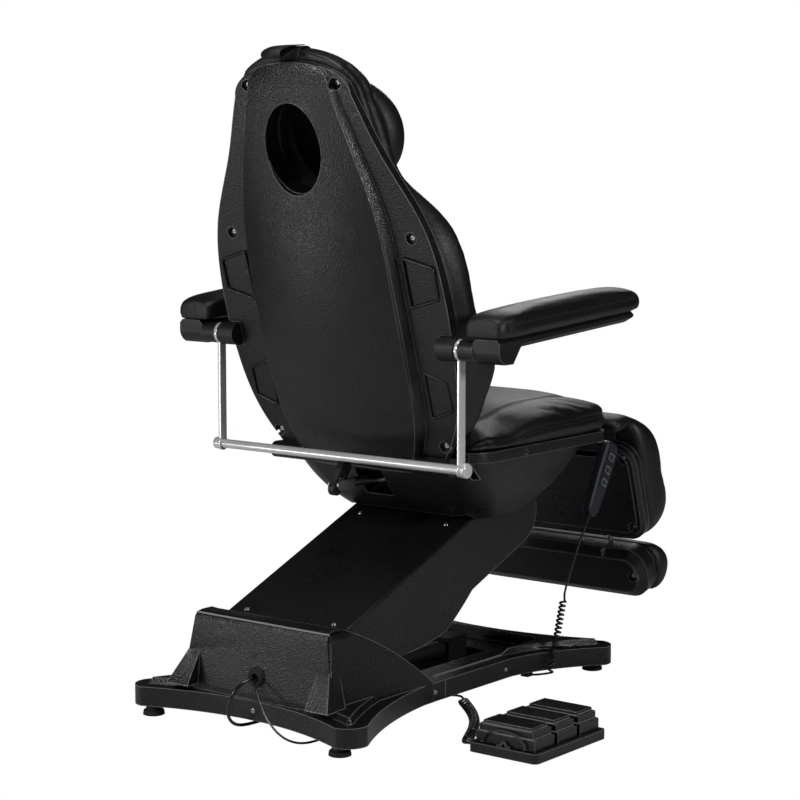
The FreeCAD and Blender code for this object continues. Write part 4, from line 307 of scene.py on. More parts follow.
class HideGrain(EffectGroup):
    """The creased cells of a leather hide, with soft patches."""

    def fill(self, shading: Shading) -> None:
        """Makes creases from the cells' edges and patches from noise.

        Args:
            shading: The group's tree.
        """
        given, result, place = shading.ends()
        warp = shading.add("ShaderNodeTexNoise", None, {"Vector": place, "Scale": 60.0, "Detail": 2.0})
        moved = shading.add("ShaderNodeVectorMath", {"operation": "MULTIPLY_ADD"},
                            {0: warp.outputs["Color"], 1: (0.004, 0.004, 0.004), 2: place})
        cells = shading.add("ShaderNodeTexVoronoi", {"feature": "DISTANCE_TO_EDGE"},
                            {"Vector": moved.outputs["Vector"], "Scale": given.outputs["Scale"]})
        wide = shading.noise(place, 7.0, 5.0)
        fine = shading.noise(place, given.outputs["Scale"])
        shading.link(shading.spread(cells.outputs["Distance"], 0.0, 0.22), result.inputs["Height"])
        shading.link(shading.spread(wide, 0.3, 0.7), result.inputs["Patches"])
        shading.link(shading.spread(fine, 0.6, 0.8), result.inputs["Glints"])


class WebWeave(EffectGroup):
    """The ribs of woven webbing."""

    def fill(self, shading: Shading) -> None:
        """Makes crossing ribs from two waves.

        Args:
            shading: The group's tree.
        """
        given, result, place = shading.ends()
        ribs, cross = (
            shading.add("ShaderNodeTexWave", {"bands_direction": way}, {
                "Vector": place, "Scale": given.outputs["Scale"], "Distortion": 0.6}).outputs["Fac"]
            for way in "XZ")
        both = shading.add("ShaderNodeMath", {"operation": "MULTIPLY"}, {0: ribs, 1: cross})
        shading.link(both.outputs["Value"], result.inputs["Height"])
        shading.link(shading.noise(place, 30.0), result.inputs["Patches"])
        shading.link(cross, result.inputs["Glints"])


class BrushedLines(EffectGroup):
    """Fine drawn lines along a metal piece, with faint smears."""

    def fill(self, shading: Shading) -> None:
        """Makes lines from noise that is stretched across the chair.

        Args:
            shading: The group's tree.
        """
        given, result, place = shading.ends()
        drawn = shading.add("ShaderNodeMapping", None, {"Vector": place, "Scale": (0.03, 1.0, 1.0)})
        lines = shading.noise(drawn.outputs["Vector"], given.outputs["Scale"], 3.0)
        smears = shading.noise(place, 14.0, 3.0)
        shading.link(lines, result.inputs["Height"])
        shading.link(shading.spread(smears, 0.35, 0.7), result.inputs["Patches"])
        shading.link(shading.spread(lines, 0.6, 0.8), result.inputs["Glints"])


class HandlingWearAndEdgeHighlight(EffectGroup):
    """Faint scuffs and dust from use, and the mask of a painted highlight along the edges."""

    def fill(self, shading: Shading) -> None:
        """Makes scuffs and dust from noise, and the painted edge highlight's mask from where the surface turns.

        Args:
            shading: The group's tree.
        """
        given, result, place = shading.ends()
        drawn = shading.add("ShaderNodeMapping", None, {"Vector": place, "Scale": (1.0, 0.2, 0.7)})
        scuffs = shading.noise(drawn.outputs["Vector"], 110.0, 5.0, 0.65)
        dust = shading.noise(place, 26.0, 8.0)
        for noise, low, high, name in ((scuffs, 0.62, 0.74, "Scuffs"), (dust, 0.52, 0.8, "Dust")):
            mask = shading.spread(noise, low, high)
            scaled = shading.add("ShaderNodeMath", {"operation": "MULTIPLY"},
                                 {0: mask, 1: given.outputs["Amount"]})
            shading.link(scaled.outputs["Value"], result.inputs[name])
        # Painted highlight mask: high where the bevelled normal turns away from the plain one, that is along the
        # edges.
        rounded = shading.add("ShaderNodeBevel", {"samples": 6}, {"Radius": EDGE_REACH})
        plain = shading.add("ShaderNodeNewGeometry")
        turned = shading.add("ShaderNodeVectorMath", {"operation": "DOT_PRODUCT"},
                             {0: rounded.outputs["Normal"], 1: plain.outputs["Normal"]})
        shading.link(shading.spread(turned.outputs["Value"], 0.985, 0.8), result.inputs["Edges"])


GRAIN_OUTPUTS = ("Height", "Patches", "Glints")
GRAINS: dict[Texture, EffectGroup] = {
    Texture.PEBBLE: PebbleGrain("pebble_grain", ("Scale",), GRAIN_OUTPUTS),
    Texture.LEATHER: HideGrain("hide_grain", ("Scale",), GRAIN_OUTPUTS),
    Texture.WEAVE: WebWeave("web_weave", ("Scale",), GRAIN_OUTPUTS),
    Texture.BRUSHED: BrushedLines("brushed_lines", ("Scale",), GRAIN_OUTPUTS),
    Texture.PLAIN: PebbleGrain("pebble_grain", ("Scale",), GRAIN_OUTPUTS),
}
# Scuffs and dust are wear; the third output is the mask of the painted edge highlight.
WEAR_AND_EDGE_HIGHLIGHT = HandlingWearAndEdgeHighlight("handling_wear_and_edge_highlight", ("Amount",), ("Scuffs", "Dust", "Edges"))


@dataclass(frozen=True)
class Finish:
    """One surface finish of the chair.

    Attributes:
        name: The material's name.
        slot: The record's material slot.
        colour: Its base colour.
        roughness: Its middle roughness.
        texture: The kind of grain.
        grain: Grains to the metre.
        depth: The grain's depth in metres.
        metallic: Metallic share.
        coat: Clear coat weight.
        patches: How far broad patches change colour and gloss.
        glints: How much brighter the glints are.
        wear: How strong scuffs and dust are.
        painted_edge_highlight: How much paler the base colour is painted along its edges, as a painted highlight.
    """

    name: str
    slot: str
    colour: Colour
    roughness: float
    texture: Texture = Texture.PEBBLE
    grain: float = 420.0
    depth: float = 0.0002
    metallic: float = 0.0
    coat: float = 0.0
    patches: float = 0.12
    glints: float = 0.25
    wear: float = 0.12
    painted_edge_highlight: float = 0.0

    def material(self) -> bpy.types.Material:
        """The finish's material, made at its first use.

        Returns:
            The material.
        """
        made = bpy.data.materials.get(self.name)
        if made is not None:
            return made
        made = bpy.data.materials.new(self.name)
        made.use_nodes = True
        shading = Shading(made.node_tree)
        shader = made.node_tree.nodes["Principled BSDF"]
        grain = shading.add("ShaderNodeGroup", {"node_tree": GRAINS[self.texture].tree()},
                            {"Scale": self.grain})
        # This group gives the scuffs and dust, and the mask of the painted edge highlight.
        wear = shading.add("ShaderNodeGroup", {"node_tree": WEAR_AND_EDGE_HIGHLIGHT.tree()}, {"Amount": self.wear})
        dark, light = self.toned(1 - self.patches), self.toned(1 + self.patches)
        colour = shading.blend(grain.outputs["Patches"], dark, light)
        bright = self.toned(1 + self.glints, self.glints * GLINT_TINT)
        colour = shading.blend(grain.outputs["Glints"], colour, bright)
        colour = shading.blend(wear.outputs["Dust"], colour, self.toned(DUST_SHARE, DUST_TINT))
        # Painted highlight: the base colour is made paler along the edges, in place of the light that rounded
        # edges catch.
        if self.painted_edge_highlight > 0:
            colour = shading.blend(wear.outputs["Edges"], colour, self.toned(1.0, self.painted_edge_highlight))
        shading.link(colour, shader.inputs["Base Color"])
        swing = self.roughness * self.patches
        gloss = shading.spread(grain.outputs["Patches"], 0.0, 1.0, self.roughness - swing,
                               self.roughness + swing)
        worn = shading.add("ShaderNodeMath", {"operation": "MULTIPLY_ADD"},
                           {0: wear.outputs["Scuffs"], 1: SCUFF_ROUGHNESS, 2: gloss})
        shading.link(worn.outputs["Value"], shader.inputs["Roughness"])
        bump = shading.add("ShaderNodeBump", None, {
            "Strength": 1.0, "Distance": self.depth, "Height": grain.outputs["Height"]})
        shading.link(bump.outputs["Normal"], shader.inputs["Normal"])
        shader.inputs["Metallic"].default_value = self.metallic
        shader.inputs["Coat Weight"].default_value = self.coat
        shader.inputs["Coat Roughness"].default_value = COAT_ROUGHNESS
        return made

    def toned(self, times: float, plus: float = 0.0) -> tuple[float, float, float, float]:
        """The base colour, made stronger or weaker and paler."""
        return (*(min(1.0, value * times + plus) for value in self.colour), 1.0)

    def put_on(self, piece: bpy.types.Object) -> None:
        """Gives a piece this finish as its only material.

        Args:
            piece: The piece.
        """
        piece.data.materials.clear()
        piece.data.materials.append(self.material())
        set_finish(piece, self.slot)


FINISHES: dict[str, Finish] = {finish.slot: finish for finish in (
    Finish("moulded_black", "moulded_cover", (0.006, 0.006, 0.0075), 0.3, grain=300.0, depth=0.0005,
           glints=1.6, patches=0.16, wear=0.06, painted_edge_highlight=0.34),
    Finish("armrest_shell_black", "armrest_cover", (0.008, 0.008, 0.009), 0.38, depth=0.00022, painted_edge_highlight=0.2),
    Finish("black_leather", "upholstery", (0.0065, 0.0065, 0.0072), 0.38, Texture.LEATHER, depth=0.00014,
           glints=0.3, wear=0.06),
    Finish("strap_webbing", "strap", (0.009, 0.009, 0.01), 0.45, Texture.WEAVE),
    Finish("frame_powder_coat", "steel_frame", (0.011, 0.011, 0.012), 0.45, grain=700.0, depth=0.00008),
    Finish("ground_steel", "bright_steel", (0.55, 0.55, 0.56), 0.3, Texture.BRUSHED, grain=900.0,
           depth=0.00002, metallic=1.0),
    Finish("plated_screw", "screws", (0.6, 0.6, 0.61), 0.28, Texture.BRUSHED, grain=1500.0, depth=0.00002,
           metallic=1.0),
    Finish("chrome_tube", "chrome", (0.95, 0.95, 0.96), 0.2, Texture.BRUSHED, grain=900.0, depth=0.000004,
           metallic=0.4, coat=0.6, patches=0.05, wear=0.04),
    Finish("motor_case", "motor_housing", (0.005, 0.005, 0.0055), 0.6, grain=600.0, depth=0.0001),
    Finish("foot_rubber", "rubber", (0.012, 0.012, 0.012), 0.75, Texture.PLAIN, grain=900.0, depth=0.00006),
    Finish("cord_sheath", "cord", (0.008, 0.008, 0.008), 0.25, Texture.PLAIN, grain=1200.0, depth=0.00003,
           coat=0.6),
    Finish("plug_shell", "plug", (0.012, 0.012, 0.012), 0.35, Texture.PLAIN, grain=900.0, depth=0.00005),
    Finish("handset_shell", "handset", (0.014, 0.016, 0.024), 0.42, Texture.PLAIN, grain=900.0, depth=0.00006),
    Finish("handset_key_face", "handset_keys", (0.02, 0.022, 0.03), 0.5, Texture.PLAIN, grain=900.0,
           depth=0.00005),
    Finish("tray_black", "pedal_tray", (0.007, 0.007, 0.0075), 0.3, grain=500.0, depth=0.00015, painted_edge_highlight=0.25),
    Finish("pedal_black", "pedals", (0.007, 0.007, 0.008), 0.26, grain=500.0, depth=0.0002, painted_edge_highlight=0.35),
)}
KEY_LINE = Finish("key_outline", "handset_keys", (0.45, 0.46, 0.48), 0.5, Texture.PLAIN, grain=900.0,
                  depth=0.00002, wear=0.2)
THREAD = Finish("seam_thread", "upholstery", (0.03, 0.03, 0.031), 0.6, Texture.WEAVE, grain=800.0,
                depth=0.0001)


def placed(name: str, data: bpy.types.ID) -> bpy.types.Object:
    """Puts a new object into the scene, at the origin.

    Args:
        name: The object's name.
        data: What it shows.

    Returns:
        The object.
    """
    made = bpy.data.objects.new(name, data)
    bpy.context.scene.collection.objects.link(made)
    return made


def new_piece(name: str, shape: bmesh.types.BMesh, body: str) -> bpy.types.Object:
    """Turns a bmesh into a smooth-shaded piece that rides on a body.

    Args:
        name: The piece's name.
        shape: The bmesh, which is freed.
        body: The CAD body that carries it, or nothing yet.

    Returns:
        The new piece.
    """
    mesh = bpy.data.meshes.new(name)
    shape.to_mesh(mesh)
    shape.free()
    for layer in ("custom_normal", "sharp_face", "sharp_edge"):
        if layer in mesh.attributes:
            mesh.attributes.remove(mesh.attributes[layer])
    for polygon in mesh.polygons:
        polygon.use_smooth = True
    mesh.set_sharp_from_angle(angle=CREASE_ANGLE)
    piece = placed(name, mesh)
    if body:
        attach(piece, body)
    return piece


def merged_copy(node: str) -> bmesh.types.BMesh:
    """A CAD node's mesh with its corners merged and its flat faces joined.

    Args:
        node: The CAD node's name.

    Returns:
        A new bmesh.
    """
    shape = bmesh.new()
    shape.from_mesh(frame["nodes"][node].data)
    bmesh.ops.remove_doubles(shape, verts=shape.verts[:], dist=MERGE_DISTANCE)
    bmesh.ops.dissolve_limit(shape, angle_limit=FLAT_ANGLE, verts=shape.verts[:], edges=shape.edges[:])
    return shape


def round_edges(shape: bmesh.types.BMesh, radius: float) -> None:
    """Rounds a shape's sharp edges.

    Args:
        shape: The bmesh that is changed.
        radius: The edge radius in metres.
    """
    sharp = [
        edge for edge in shape.edges
        if len(edge.link_faces) == 2 and edge.calc_face_angle() > SHARP_ANGLE
        and edge.calc_length() > radius
    ]
    bmesh.ops.bevel(shape, geom=sharp, offset=radius, offset_type="OFFSET", segments=BEVEL_SEGMENTS,
                    profile=BEVEL_PROFILE, affect="EDGES", clamp_overlap=True, material=-1)


def add_peg(shape: bmesh.types.BMesh, radii: tuple[float, float], depth: float, way: Vector, place: Vector,
            segments: int) -> None:
    """Adds a short round peg to a bmesh.

    Args:
        shape: The bmesh.
        radii: The radius at its start and at its end.
        depth: Its length.
        way: The way that it points.
        place: Its middle.
        segments: How many sides it has.
    """
    made = bmesh.ops.create_cone(shape, cap_ends=True, segments=segments, radius1=radii[0], radius2=radii[1],
                                 depth=depth)
    turn = way.to_track_quat("Z", "Y").to_matrix()
    bmesh.ops.rotate(shape, verts=made["verts"], cent=(0, 0, 0), matrix=turn)
    bmesh.ops.translate(shape, verts=made["verts"], vec=place)


def surface(piece: bpy.types.Object) -> BVHTree:
    """A piece's faces, ready to be searched.

    Args:
        piece: The piece.

    Returns:
        The tree of its faces.
    """
    shape = bmesh.new()
    shape.from_mesh(piece.data)
    tree = BVHTree.FromBMesh(shape)
    shape.free()
    return tree


def line_object(name: str, kind: str, route: Route) -> bpy.types.Object:
    """A curve object through or near a route's points.

    Args:
        name: The object's name.
        kind: The kind of spline.
        route: The points in metres.

    Returns:
        The curve object, with one spline.
    """
    curve = bpy.data.curves.new(name, "CURVE")
    curve.dimensions = "3D"
    curve.resolution_u = LINE_STEPS
    spline = curve.splines.new(kind)
    spline.points.add(len(route) - 1)
    for control, place in zip(spline.points, route):
        control.co = (*place, 1.0)
    return placed(name, curve)


def curve_points(name: str, route: Route) -> list[Vector]:
    """Points along the smooth line that a route's points control.

    Args:
        name: A name for the line while it is read.
        route: The control points in metres.

    Returns:
        Closely spaced points from end to end.
    """
    carrier = line_object(name, "NURBS", route)
    spline = carrier.data.splines[0]
    spline.order_u = 3
    spline.use_endpoint_u = True
    depsgraph = bpy.context.evaluated_depsgraph_get()
    mesh = bpy.data.meshes.new_from_object(carrier.evaluated_get(depsgraph))
    points = [vertex.co.copy() for vertex in mesh.vertices]
    bpy.data.objects.remove(carrier)
    bpy.data.meshes.remove(mesh)
    return points


def line_length(points: list[Vector]) -> float:
    """The length of a line through points."""
    return sum((after - before).length for before, after in zip(points, points[1:]))


def tube(name: str, points: list[Vector], diameter: float, closed: bool = False) -> bpy.types.Object:
    """A round tube along a line of points.

    Args:
        name: The tube's name.
        points: The points that it follows.
        diameter: Its diameter in metres.
        closed: Whether the last point joins the first.

    Returns:
        A mesh object that rides on nothing yet.
    """
    made = line_object(name, "POLY", points)
    made.data.bevel_depth = diameter / 2
    made.data.bevel_resolution = 3
    made.data.use_fill_caps = not closed
    made.data.splines[0].use_cyclic_u = closed
    return as_mesh(made)


def as_mesh(carrier: bpy.types.Object) -> bpy.types.Object:
    """Replaces an object by the smooth-shaded mesh that it makes, under the same name.

    Args:
        carrier: The object, which is removed.

    Returns:
        The mesh object.
    """
    name = carrier.name
    depsgraph = bpy.context.evaluated_depsgraph_get()
    mesh = bpy.data.meshes.new_from_object(carrier.evaluated_get(depsgraph))
    bpy.data.objects.remove(carrier)
    for polygon in mesh.polygons:
        polygon.use_smooth = True
    return placed(name, mesh)


def bead(name: str, body: str, points: list[Vector], radius: float, closed: bool = False) -> None:
    """A raised line on a moulded shell.

    Args:
        name: The piece's name.
        body: The CAD body that carries it.
        points: The points along its middle.
        radius: Its radius in metres.
        closed: Whether the last point joins the first.
    """
    piece = tube(name, points, radius * 2, closed)
    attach(piece, body)
    FINISHES["moulded_cover"].put_on(piece)


@dataclass
class SubAssembly:
    """Pieces that belong together, most of them rounded copies of CAD nodes.

    Attributes:
        edges: The edge radius in metres of each node's copy.
        pieces: What has been built so far.
    """

    edges: dict[str, float] = field(default_factory=dict)
    pieces: list[bpy.types.Object] = field(default_factory=list)

    def build(self) -> None:
        """Makes the rounded copies."""
        for node, radius in self.edges.items():
            shape = merged_copy(node)
            self.shaped(node, shape)
            round_edges(shape, radius)
            piece = new_piece(node + "_piece", shape, NODE_BODY[node])
            even = piece.modifiers.new("even_normals", "WEIGHTED_NORMAL")
            even.keep_sharp = True
            even.weight = NORMAL_WEIGHT
            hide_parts(node)
            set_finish(piece, NODE_SLOT[node])
            self.pieces.append(piece)

    def shaped(self, node: str, shape: bmesh.types.BMesh) -> None:
        """Forms a node's copy further before its edges are rounded; most need nothing.

        Args:
            node: The CAD node's name.
            shape: Its copy, which may be changed.
        """

    def dress(self) -> None:
        """Gives each piece the finish of its slot."""
        for piece in self.pieces:
            FINISHES[piece["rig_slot"]].put_on(piece)
            LOG.info("dressed %s", piece.name)


@dataclass
class Base(SubAssembly):
    """The standing base with its covers, feet, motor and links.

    Attributes:
        cover_radius: The rear cover's broad edge radius.
        cover_edge: The shortest edge that is made broad.
        cover_low: The height above which edges are broad.
        cover_front: How far back broad edges start.
        cover_segments: How many faces round a broad edge.
    """

    edges: dict[str, float] = field(default_factory=lambda: {
        "base_frame": 0.0008, "base_feet": 0.002, "base_rear_cover": 0.0022, "base_front_cover": 0.0022,
        "base_screws": 0.0005, "cable_glands": 0.0012, "control_box": 0.001, "arm_pivot_pins": 0.0008,
        "lift_motor": 0.001, "lift_rod": 0.0008, "lower_links": 0.0012,
    })
    cover_radius: float = 0.009
    cover_edge: float = 0.05
    cover_low: float = 0.13
    cover_front: float = 0.3
    cover_segments: int = 4

    def shaped(self, node: str, shape: bmesh.types.BMesh) -> None:
        """Gives the rear cover's long upper edges their broad roundness.

        Args:
            node: The CAD node's name.
            shape: Its copy.
        """
        if node != "base_rear_cover":
            return
        broad = [
            edge for edge in shape.edges
            if len(edge.link_faces) == 2 and edge.is_convex and edge.calc_face_angle() > SHARP_ANGLE
            and edge.calc_length() > self.cover_edge
            and min(vert.co.z for vert in edge.verts) > self.cover_low
            and max(vert.co.y for vert in edge.verts) > self.cover_front
        ]
        LOG.info("%d broad edges", len(broad))
        bmesh.ops.bevel(shape, geom=broad, offset=self.cover_radius, offset_type="OFFSET",
                        segments=self.cover_segments, profile=BEVEL_PROFILE, affect="EDGES", clamp_overlap=False,
                        material=-1)


@dataclass
class LiftArm(SubAssembly):
    """The lifting arm with its cover and screws."""

    edges: dict[str, float] = field(default_factory=lambda: {
        "arm_frame": 0.001, "arm_cover": 0.0016, "arm_screws": 0.0005,
    })


@dataclass(frozen=True)
class Seam:
    """A sewn seam on a cushion.

    Attributes:
        route: Points near the surface, from end to end.
        depth: How deep the seam draws the cover in.
        reach: How wide the drawn-in groove is.
        rows: How far beside the seam each row of stitches lies.
    """

    route: Route
    depth: float = 0.0035
    reach: float = 0.007
    rows: tuple[float, ...] = (-0.004, 0.004)


@dataclass
class Cushion:
    """A stuffed piece: a CAD solid that is filled, sewn and covered.

    Attributes:
        node: The CAD node that it stands for.
        front: The way its padded face looks.
        voxel: The size of its mesh's squares in metres.
        cap: The furthest that the filling moves the cover.
        fill: How full it is, from 0 to 1.
        seams: Its sewn seams.
        form: Where each point of the CAD solid comes to lie before it is filled, if it moves.
        softened: How often its corners are smoothed before it is filled.
        pressure: How hard the filling presses.
        stitch_pitch: The distance from stitch to stitch.
        stitch_length: A stitch's length.
        stitch_width: A stitch's thickness.
        stitch_sides: How many sides it has.
    """

    node: str
    front: Vector
    voxel: float
    cap: float
    fill: float
    seams: tuple[Seam, ...] = ()
    form: Callable[[Vector], Vector] | None = None
    softened: int = 0
    pressure: float = 4.0
    stitch_pitch: float = 0.0065
    stitch_length: float = 0.0044
    stitch_width: float = 0.0012
    stitch_sides: int = 6

    def build(self) -> bpy.types.Object:
        """Makes the filled cushion, and its stitches where it has seams.

        Returns:
            The cushion.
        """
        piece = self.remeshed()
        if self.form is not None:
            for vertex in piece.data.vertices:
                vertex.co = self.form(vertex.co)
        self.relaxed(piece, self.softened)
        self.filled(piece)
        self.relaxed(piece)
        cover = surface(piece)
        lines = [self.laid_line(cover, seam) for seam in self.seams]
        for seam, line in zip(self.seams, lines):
            self.drawn_in(piece, seam, line)
        body = NODE_BODY[self.node]
        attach(piece, body)
        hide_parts(self.node)
        FINISHES["upholstery"].put_on(piece)
        finer = piece.modifiers.new("finer", "SUBSURF")
        finer.levels = finer.render_levels = 1
        if self.seams:
            self.stitches(piece, lines, body)
        LOG.info("sewed %s", piece.name)
        return piece

    def remeshed(self) -> bpy.types.Object:
        """Turns the node's solid into an even mesh of squares.

        Returns:
            The piece, which rides on nothing yet.
        """
        shape = bmesh.new()
        shape.from_mesh(frame["nodes"][self.node].data)
        bmesh.ops.remove_doubles(shape, verts=shape.verts[:], dist=MERGE_DISTANCE)
        piece = new_piece(self.node + "_sewn", shape, "")
        squares = piece.modifiers.new("squares", "REMESH")
        squares.mode = "VOXEL"
        squares.voxel_size = self.voxel
        squares.use_smooth_shade = True
        return as_mesh(piece)

    def filled(self, piece: bpy.types.Object) -> None:
        """Presses the cover out from inside and keeps the result within the cap.

        Args:
            piece: The cushion, whose vertices are moved.
        """
        mesh = piece.data
        rest = [vertex.co.copy() for vertex in mesh.vertices]
        held = piece.vertex_groups.new(name="held")
        behind = [vertex.index for vertex in mesh.vertices if vertex.normal.dot(self.front) < HELD_BEHIND]
        held.add(behind, 1.0, "REPLACE")
        cover = piece.modifiers.new("cover", "CLOTH")
        for key, value in COVER_CLOTH.items():
            setattr(cover.settings, key, value)
        cover.settings.uniform_pressure_force = self.pressure
        cover.settings.effector_weights.gravity = 0.0
        cover.point_cache.frame_start = 1
        cover.point_cache.frame_end = SIMULATED_FRAMES
        for step in range(1, SIMULATED_FRAMES + 1):
            bpy.context.scene.frame_set(step)
        depsgraph = bpy.context.evaluated_depsgraph_get()
        moved = [vertex.co.copy() for vertex in piece.evaluated_get(depsgraph).data.vertices]
        piece.modifiers.remove(cover)
        piece.vertex_groups.clear()
        for vertex, start, end in zip(mesh.vertices, rest, moved):
            step = end - start
            if step.length > self.cap:
                step *= self.cap / step.length
            vertex.co = start + step
        bpy.context.scene.frame_set(1)

    def relaxed(self, piece: bpy.types.Object, rounds: int = 3) -> None:
        """Evens the cover out.

        Args:
            piece: The cushion, whose vertices are moved.
            rounds: How often it is smoothed.
        """
        shape = bmesh.new()
        shape.from_mesh(piece.data)
        for _ in range(rounds):
            bmesh.ops.smooth_vert(shape, verts=shape.verts[:], factor=0.5, use_axis_x=True, use_axis_y=True,
                                  use_axis_z=True)
        shape.to_mesh(piece.data)
        shape.free()

    def laid_line(self, cover: BVHTree, seam: Seam) -> list[tuple[Vector, Vector]]:
        """A seam's route, laid on the cover.

        Args:
            cover: The cushion's faces.
            seam: The seam.

        Returns:
            Points on the cover with the cover's normals, evenly spaced.
        """
        spaced = evenly(curve_points("seam_line", seam.route), self.stitch_pitch)
        return [cover.find_nearest(point)[:2] for point in spaced]

    def drawn_in(self, piece: bpy.types.Object, seam: Seam, line: list[tuple[Vector, Vector]]) -> None:
        """Draws the cover in along a seam.

        Args:
            piece: The cushion, whose vertices are moved.
            seam: The seam.
            line: Its points on the cover.
        """
        tree = KDTree(len(line))
        for index, (place, _normal) in enumerate(line):
            tree.insert(place, index)
        tree.balance()
        for vertex in piece.data.vertices:
            _place, index, distance = tree.find(vertex.co)
            if distance < 3 * seam.reach:
                sink = seam.depth * math.exp(-(distance / seam.reach) ** 2)
                vertex.co -= line[index][1] * sink

    def stitches(self, piece: bpy.types.Object, lines: list[list[tuple[Vector, Vector]]],
                 body: str) -> None:
        """Rows of stitches beside the seams, all in one piece.

        Args:
            piece: The cushion.
            lines: The seams' points on the cover.
            body: The CAD body that carries them.
        """
        cover = surface(piece)
        shape = bmesh.new()
        for seam, line in zip(self.seams, lines):
            for (place, normal), (after, _normal) in zip(line, line[1:]):
                along = after - place
                if along.length < MERGE_DISTANCE:
                    continue
                along.normalize()
                side = normal.cross(along).normalized()
                for row in seam.rows:
                    spot, out = cover.find_nearest(place + side * row)[:2]
                    radius = self.stitch_width / 2
                    add_peg(shape, (radius, radius), self.stitch_length, along,
                            spot + out * self.stitch_width * STITCH_LIFT, self.stitch_sides)
        THREAD.put_on(new_piece(self.node + "_stitches", shape, body))


def evenly(points: list[Vector], pitch: float) -> list[Vector]:
    """Points at an even pitch along a line.

    Args:
        points: The line's points.
        pitch: The distance between the new points.

    Returns:
        The new points.
    """
    spaced = [points[0]]
    left = pitch
    for before, after in zip(points, points[1:]):
        run = (after - before).length
        done = 0.0
        while run - done > left:
            done += left
            spaced.append(before.lerp(after, done / run))
            left = pitch
        left -= run - done
    return spaced


def eased(value: float, start: float, run: float) -> float:
    """How much of a run past its start a value has gone, from 0 to 1, softly at both ends."""
    share = max(0.0, min(1.0, (value - start) / run))
    return share * share * (3 - 2 * share)


@dataclass(frozen=True)
class HeadArch:
    """The rounded top of the back rest, which turns a squarer outline into half an oval.

    Attributes:
        ups: Heights above the back's hinge, from where the arch springs to the outline's top.
        half_widths: The outline's half widths at those heights.
        top: The arch's own top.
    """

    ups: tuple[float, ...]
    half_widths: tuple[float, ...]
    top: float

    def half_width(self, up: float) -> float:
        """The squarer outline's half width at a height.

        Args:
            up: The height above the back's hinge.

        Returns:
            The half width there.
        """
        for low, high, narrow, wide in zip(self.ups, self.ups[1:], self.half_widths, self.half_widths[1:]):
            if up <= high:
                return narrow + (wide - narrow) * (up - low) / (high - low)
        return self.half_widths[-1]

    def moved(self, place: Vector) -> Vector:
        """Where a point of the squarer shape comes to lie.

        Args:
            place: The point, in the chair's frame.

        Returns:
            Its place under the arch.
        """
        up = up_the_back(place)
        spring = self.ups[0]
        if up <= spring:
            return place
        across = max(-1.0, min(1.0, place.x / self.half_width(up)))
        over = min(1.0, (up - spring) / (self.ups[-1] - spring))
        wide = self.half_widths[0] * across * math.sqrt(1 - over ** 2 / 2)
        high = spring + (self.top - spring) * over * math.sqrt(1 - across ** 2 / 2)
        return Vector((wide, place.y, place.z)) + BACK_RISE * (high - up)


@dataclass
class Seat(SubAssembly):
    """The seat with its tray, bowl, frame, motors and cushion."""

    edges: dict[str, float] = field(default_factory=lambda: {
        "seat_frame": 0.001, "seat_pins": 0.0008, "seat_shell": 0.0015, "seat_lower_cover": 0.0015,
        "back_motor": 0.001, "back_rod": 0.0008, "leg_motor": 0.001, "leg_rod": 0.0008,
    })
    half_width: float = 0.302
    seam_rear_y: float = 0.1724
    seam_front_y: float = -0.3776
    seam_height: float = 0.592

    def build(self) -> None:
        """Makes the hard pieces and the cushion."""
        super().build()
        self.cushion().build()

    def cushion(self) -> Cushion:
        """The seat cushion, with a seam round its edge and two across its top.

        Returns:
            The cushion to build.
        """
        wide = self.half_width
        rear = self.seam_rear_y
        front = self.seam_front_y
        z = self.seam_height
        half = [(wide * share, y, z + lift) for share, y, lift in (
            (0.9, rear, -0.01), (1.0, rear - 0.06, 0.0), (1.01, rear - 0.2, 0.008), (1.01, front + 0.2, 0.014),
            (0.98, front + 0.07, 0.012), (0.82, front, 0.004))]
        seams = [Seam((*half, (0.0, front - 0.01, z), *((-x, y, up) for x, y, up in reversed(half))))]
        for side in (-1, 1):
            x = side * wide * 0.66
            seams.append(Seam((
                (x, rear, z + 0.01), (x, rear - 0.12, z + 0.02), (x, rear - 0.3, z + 0.04),
                (x, front + 0.1, z + 0.05), (x * 0.98, front + 0.02, z + 0.03))))
        return Cushion("seat_cushion", UPWARDS, voxel=0.006, cap=0.014, fill=0.8, seams=tuple(seams),
                       softened=40)


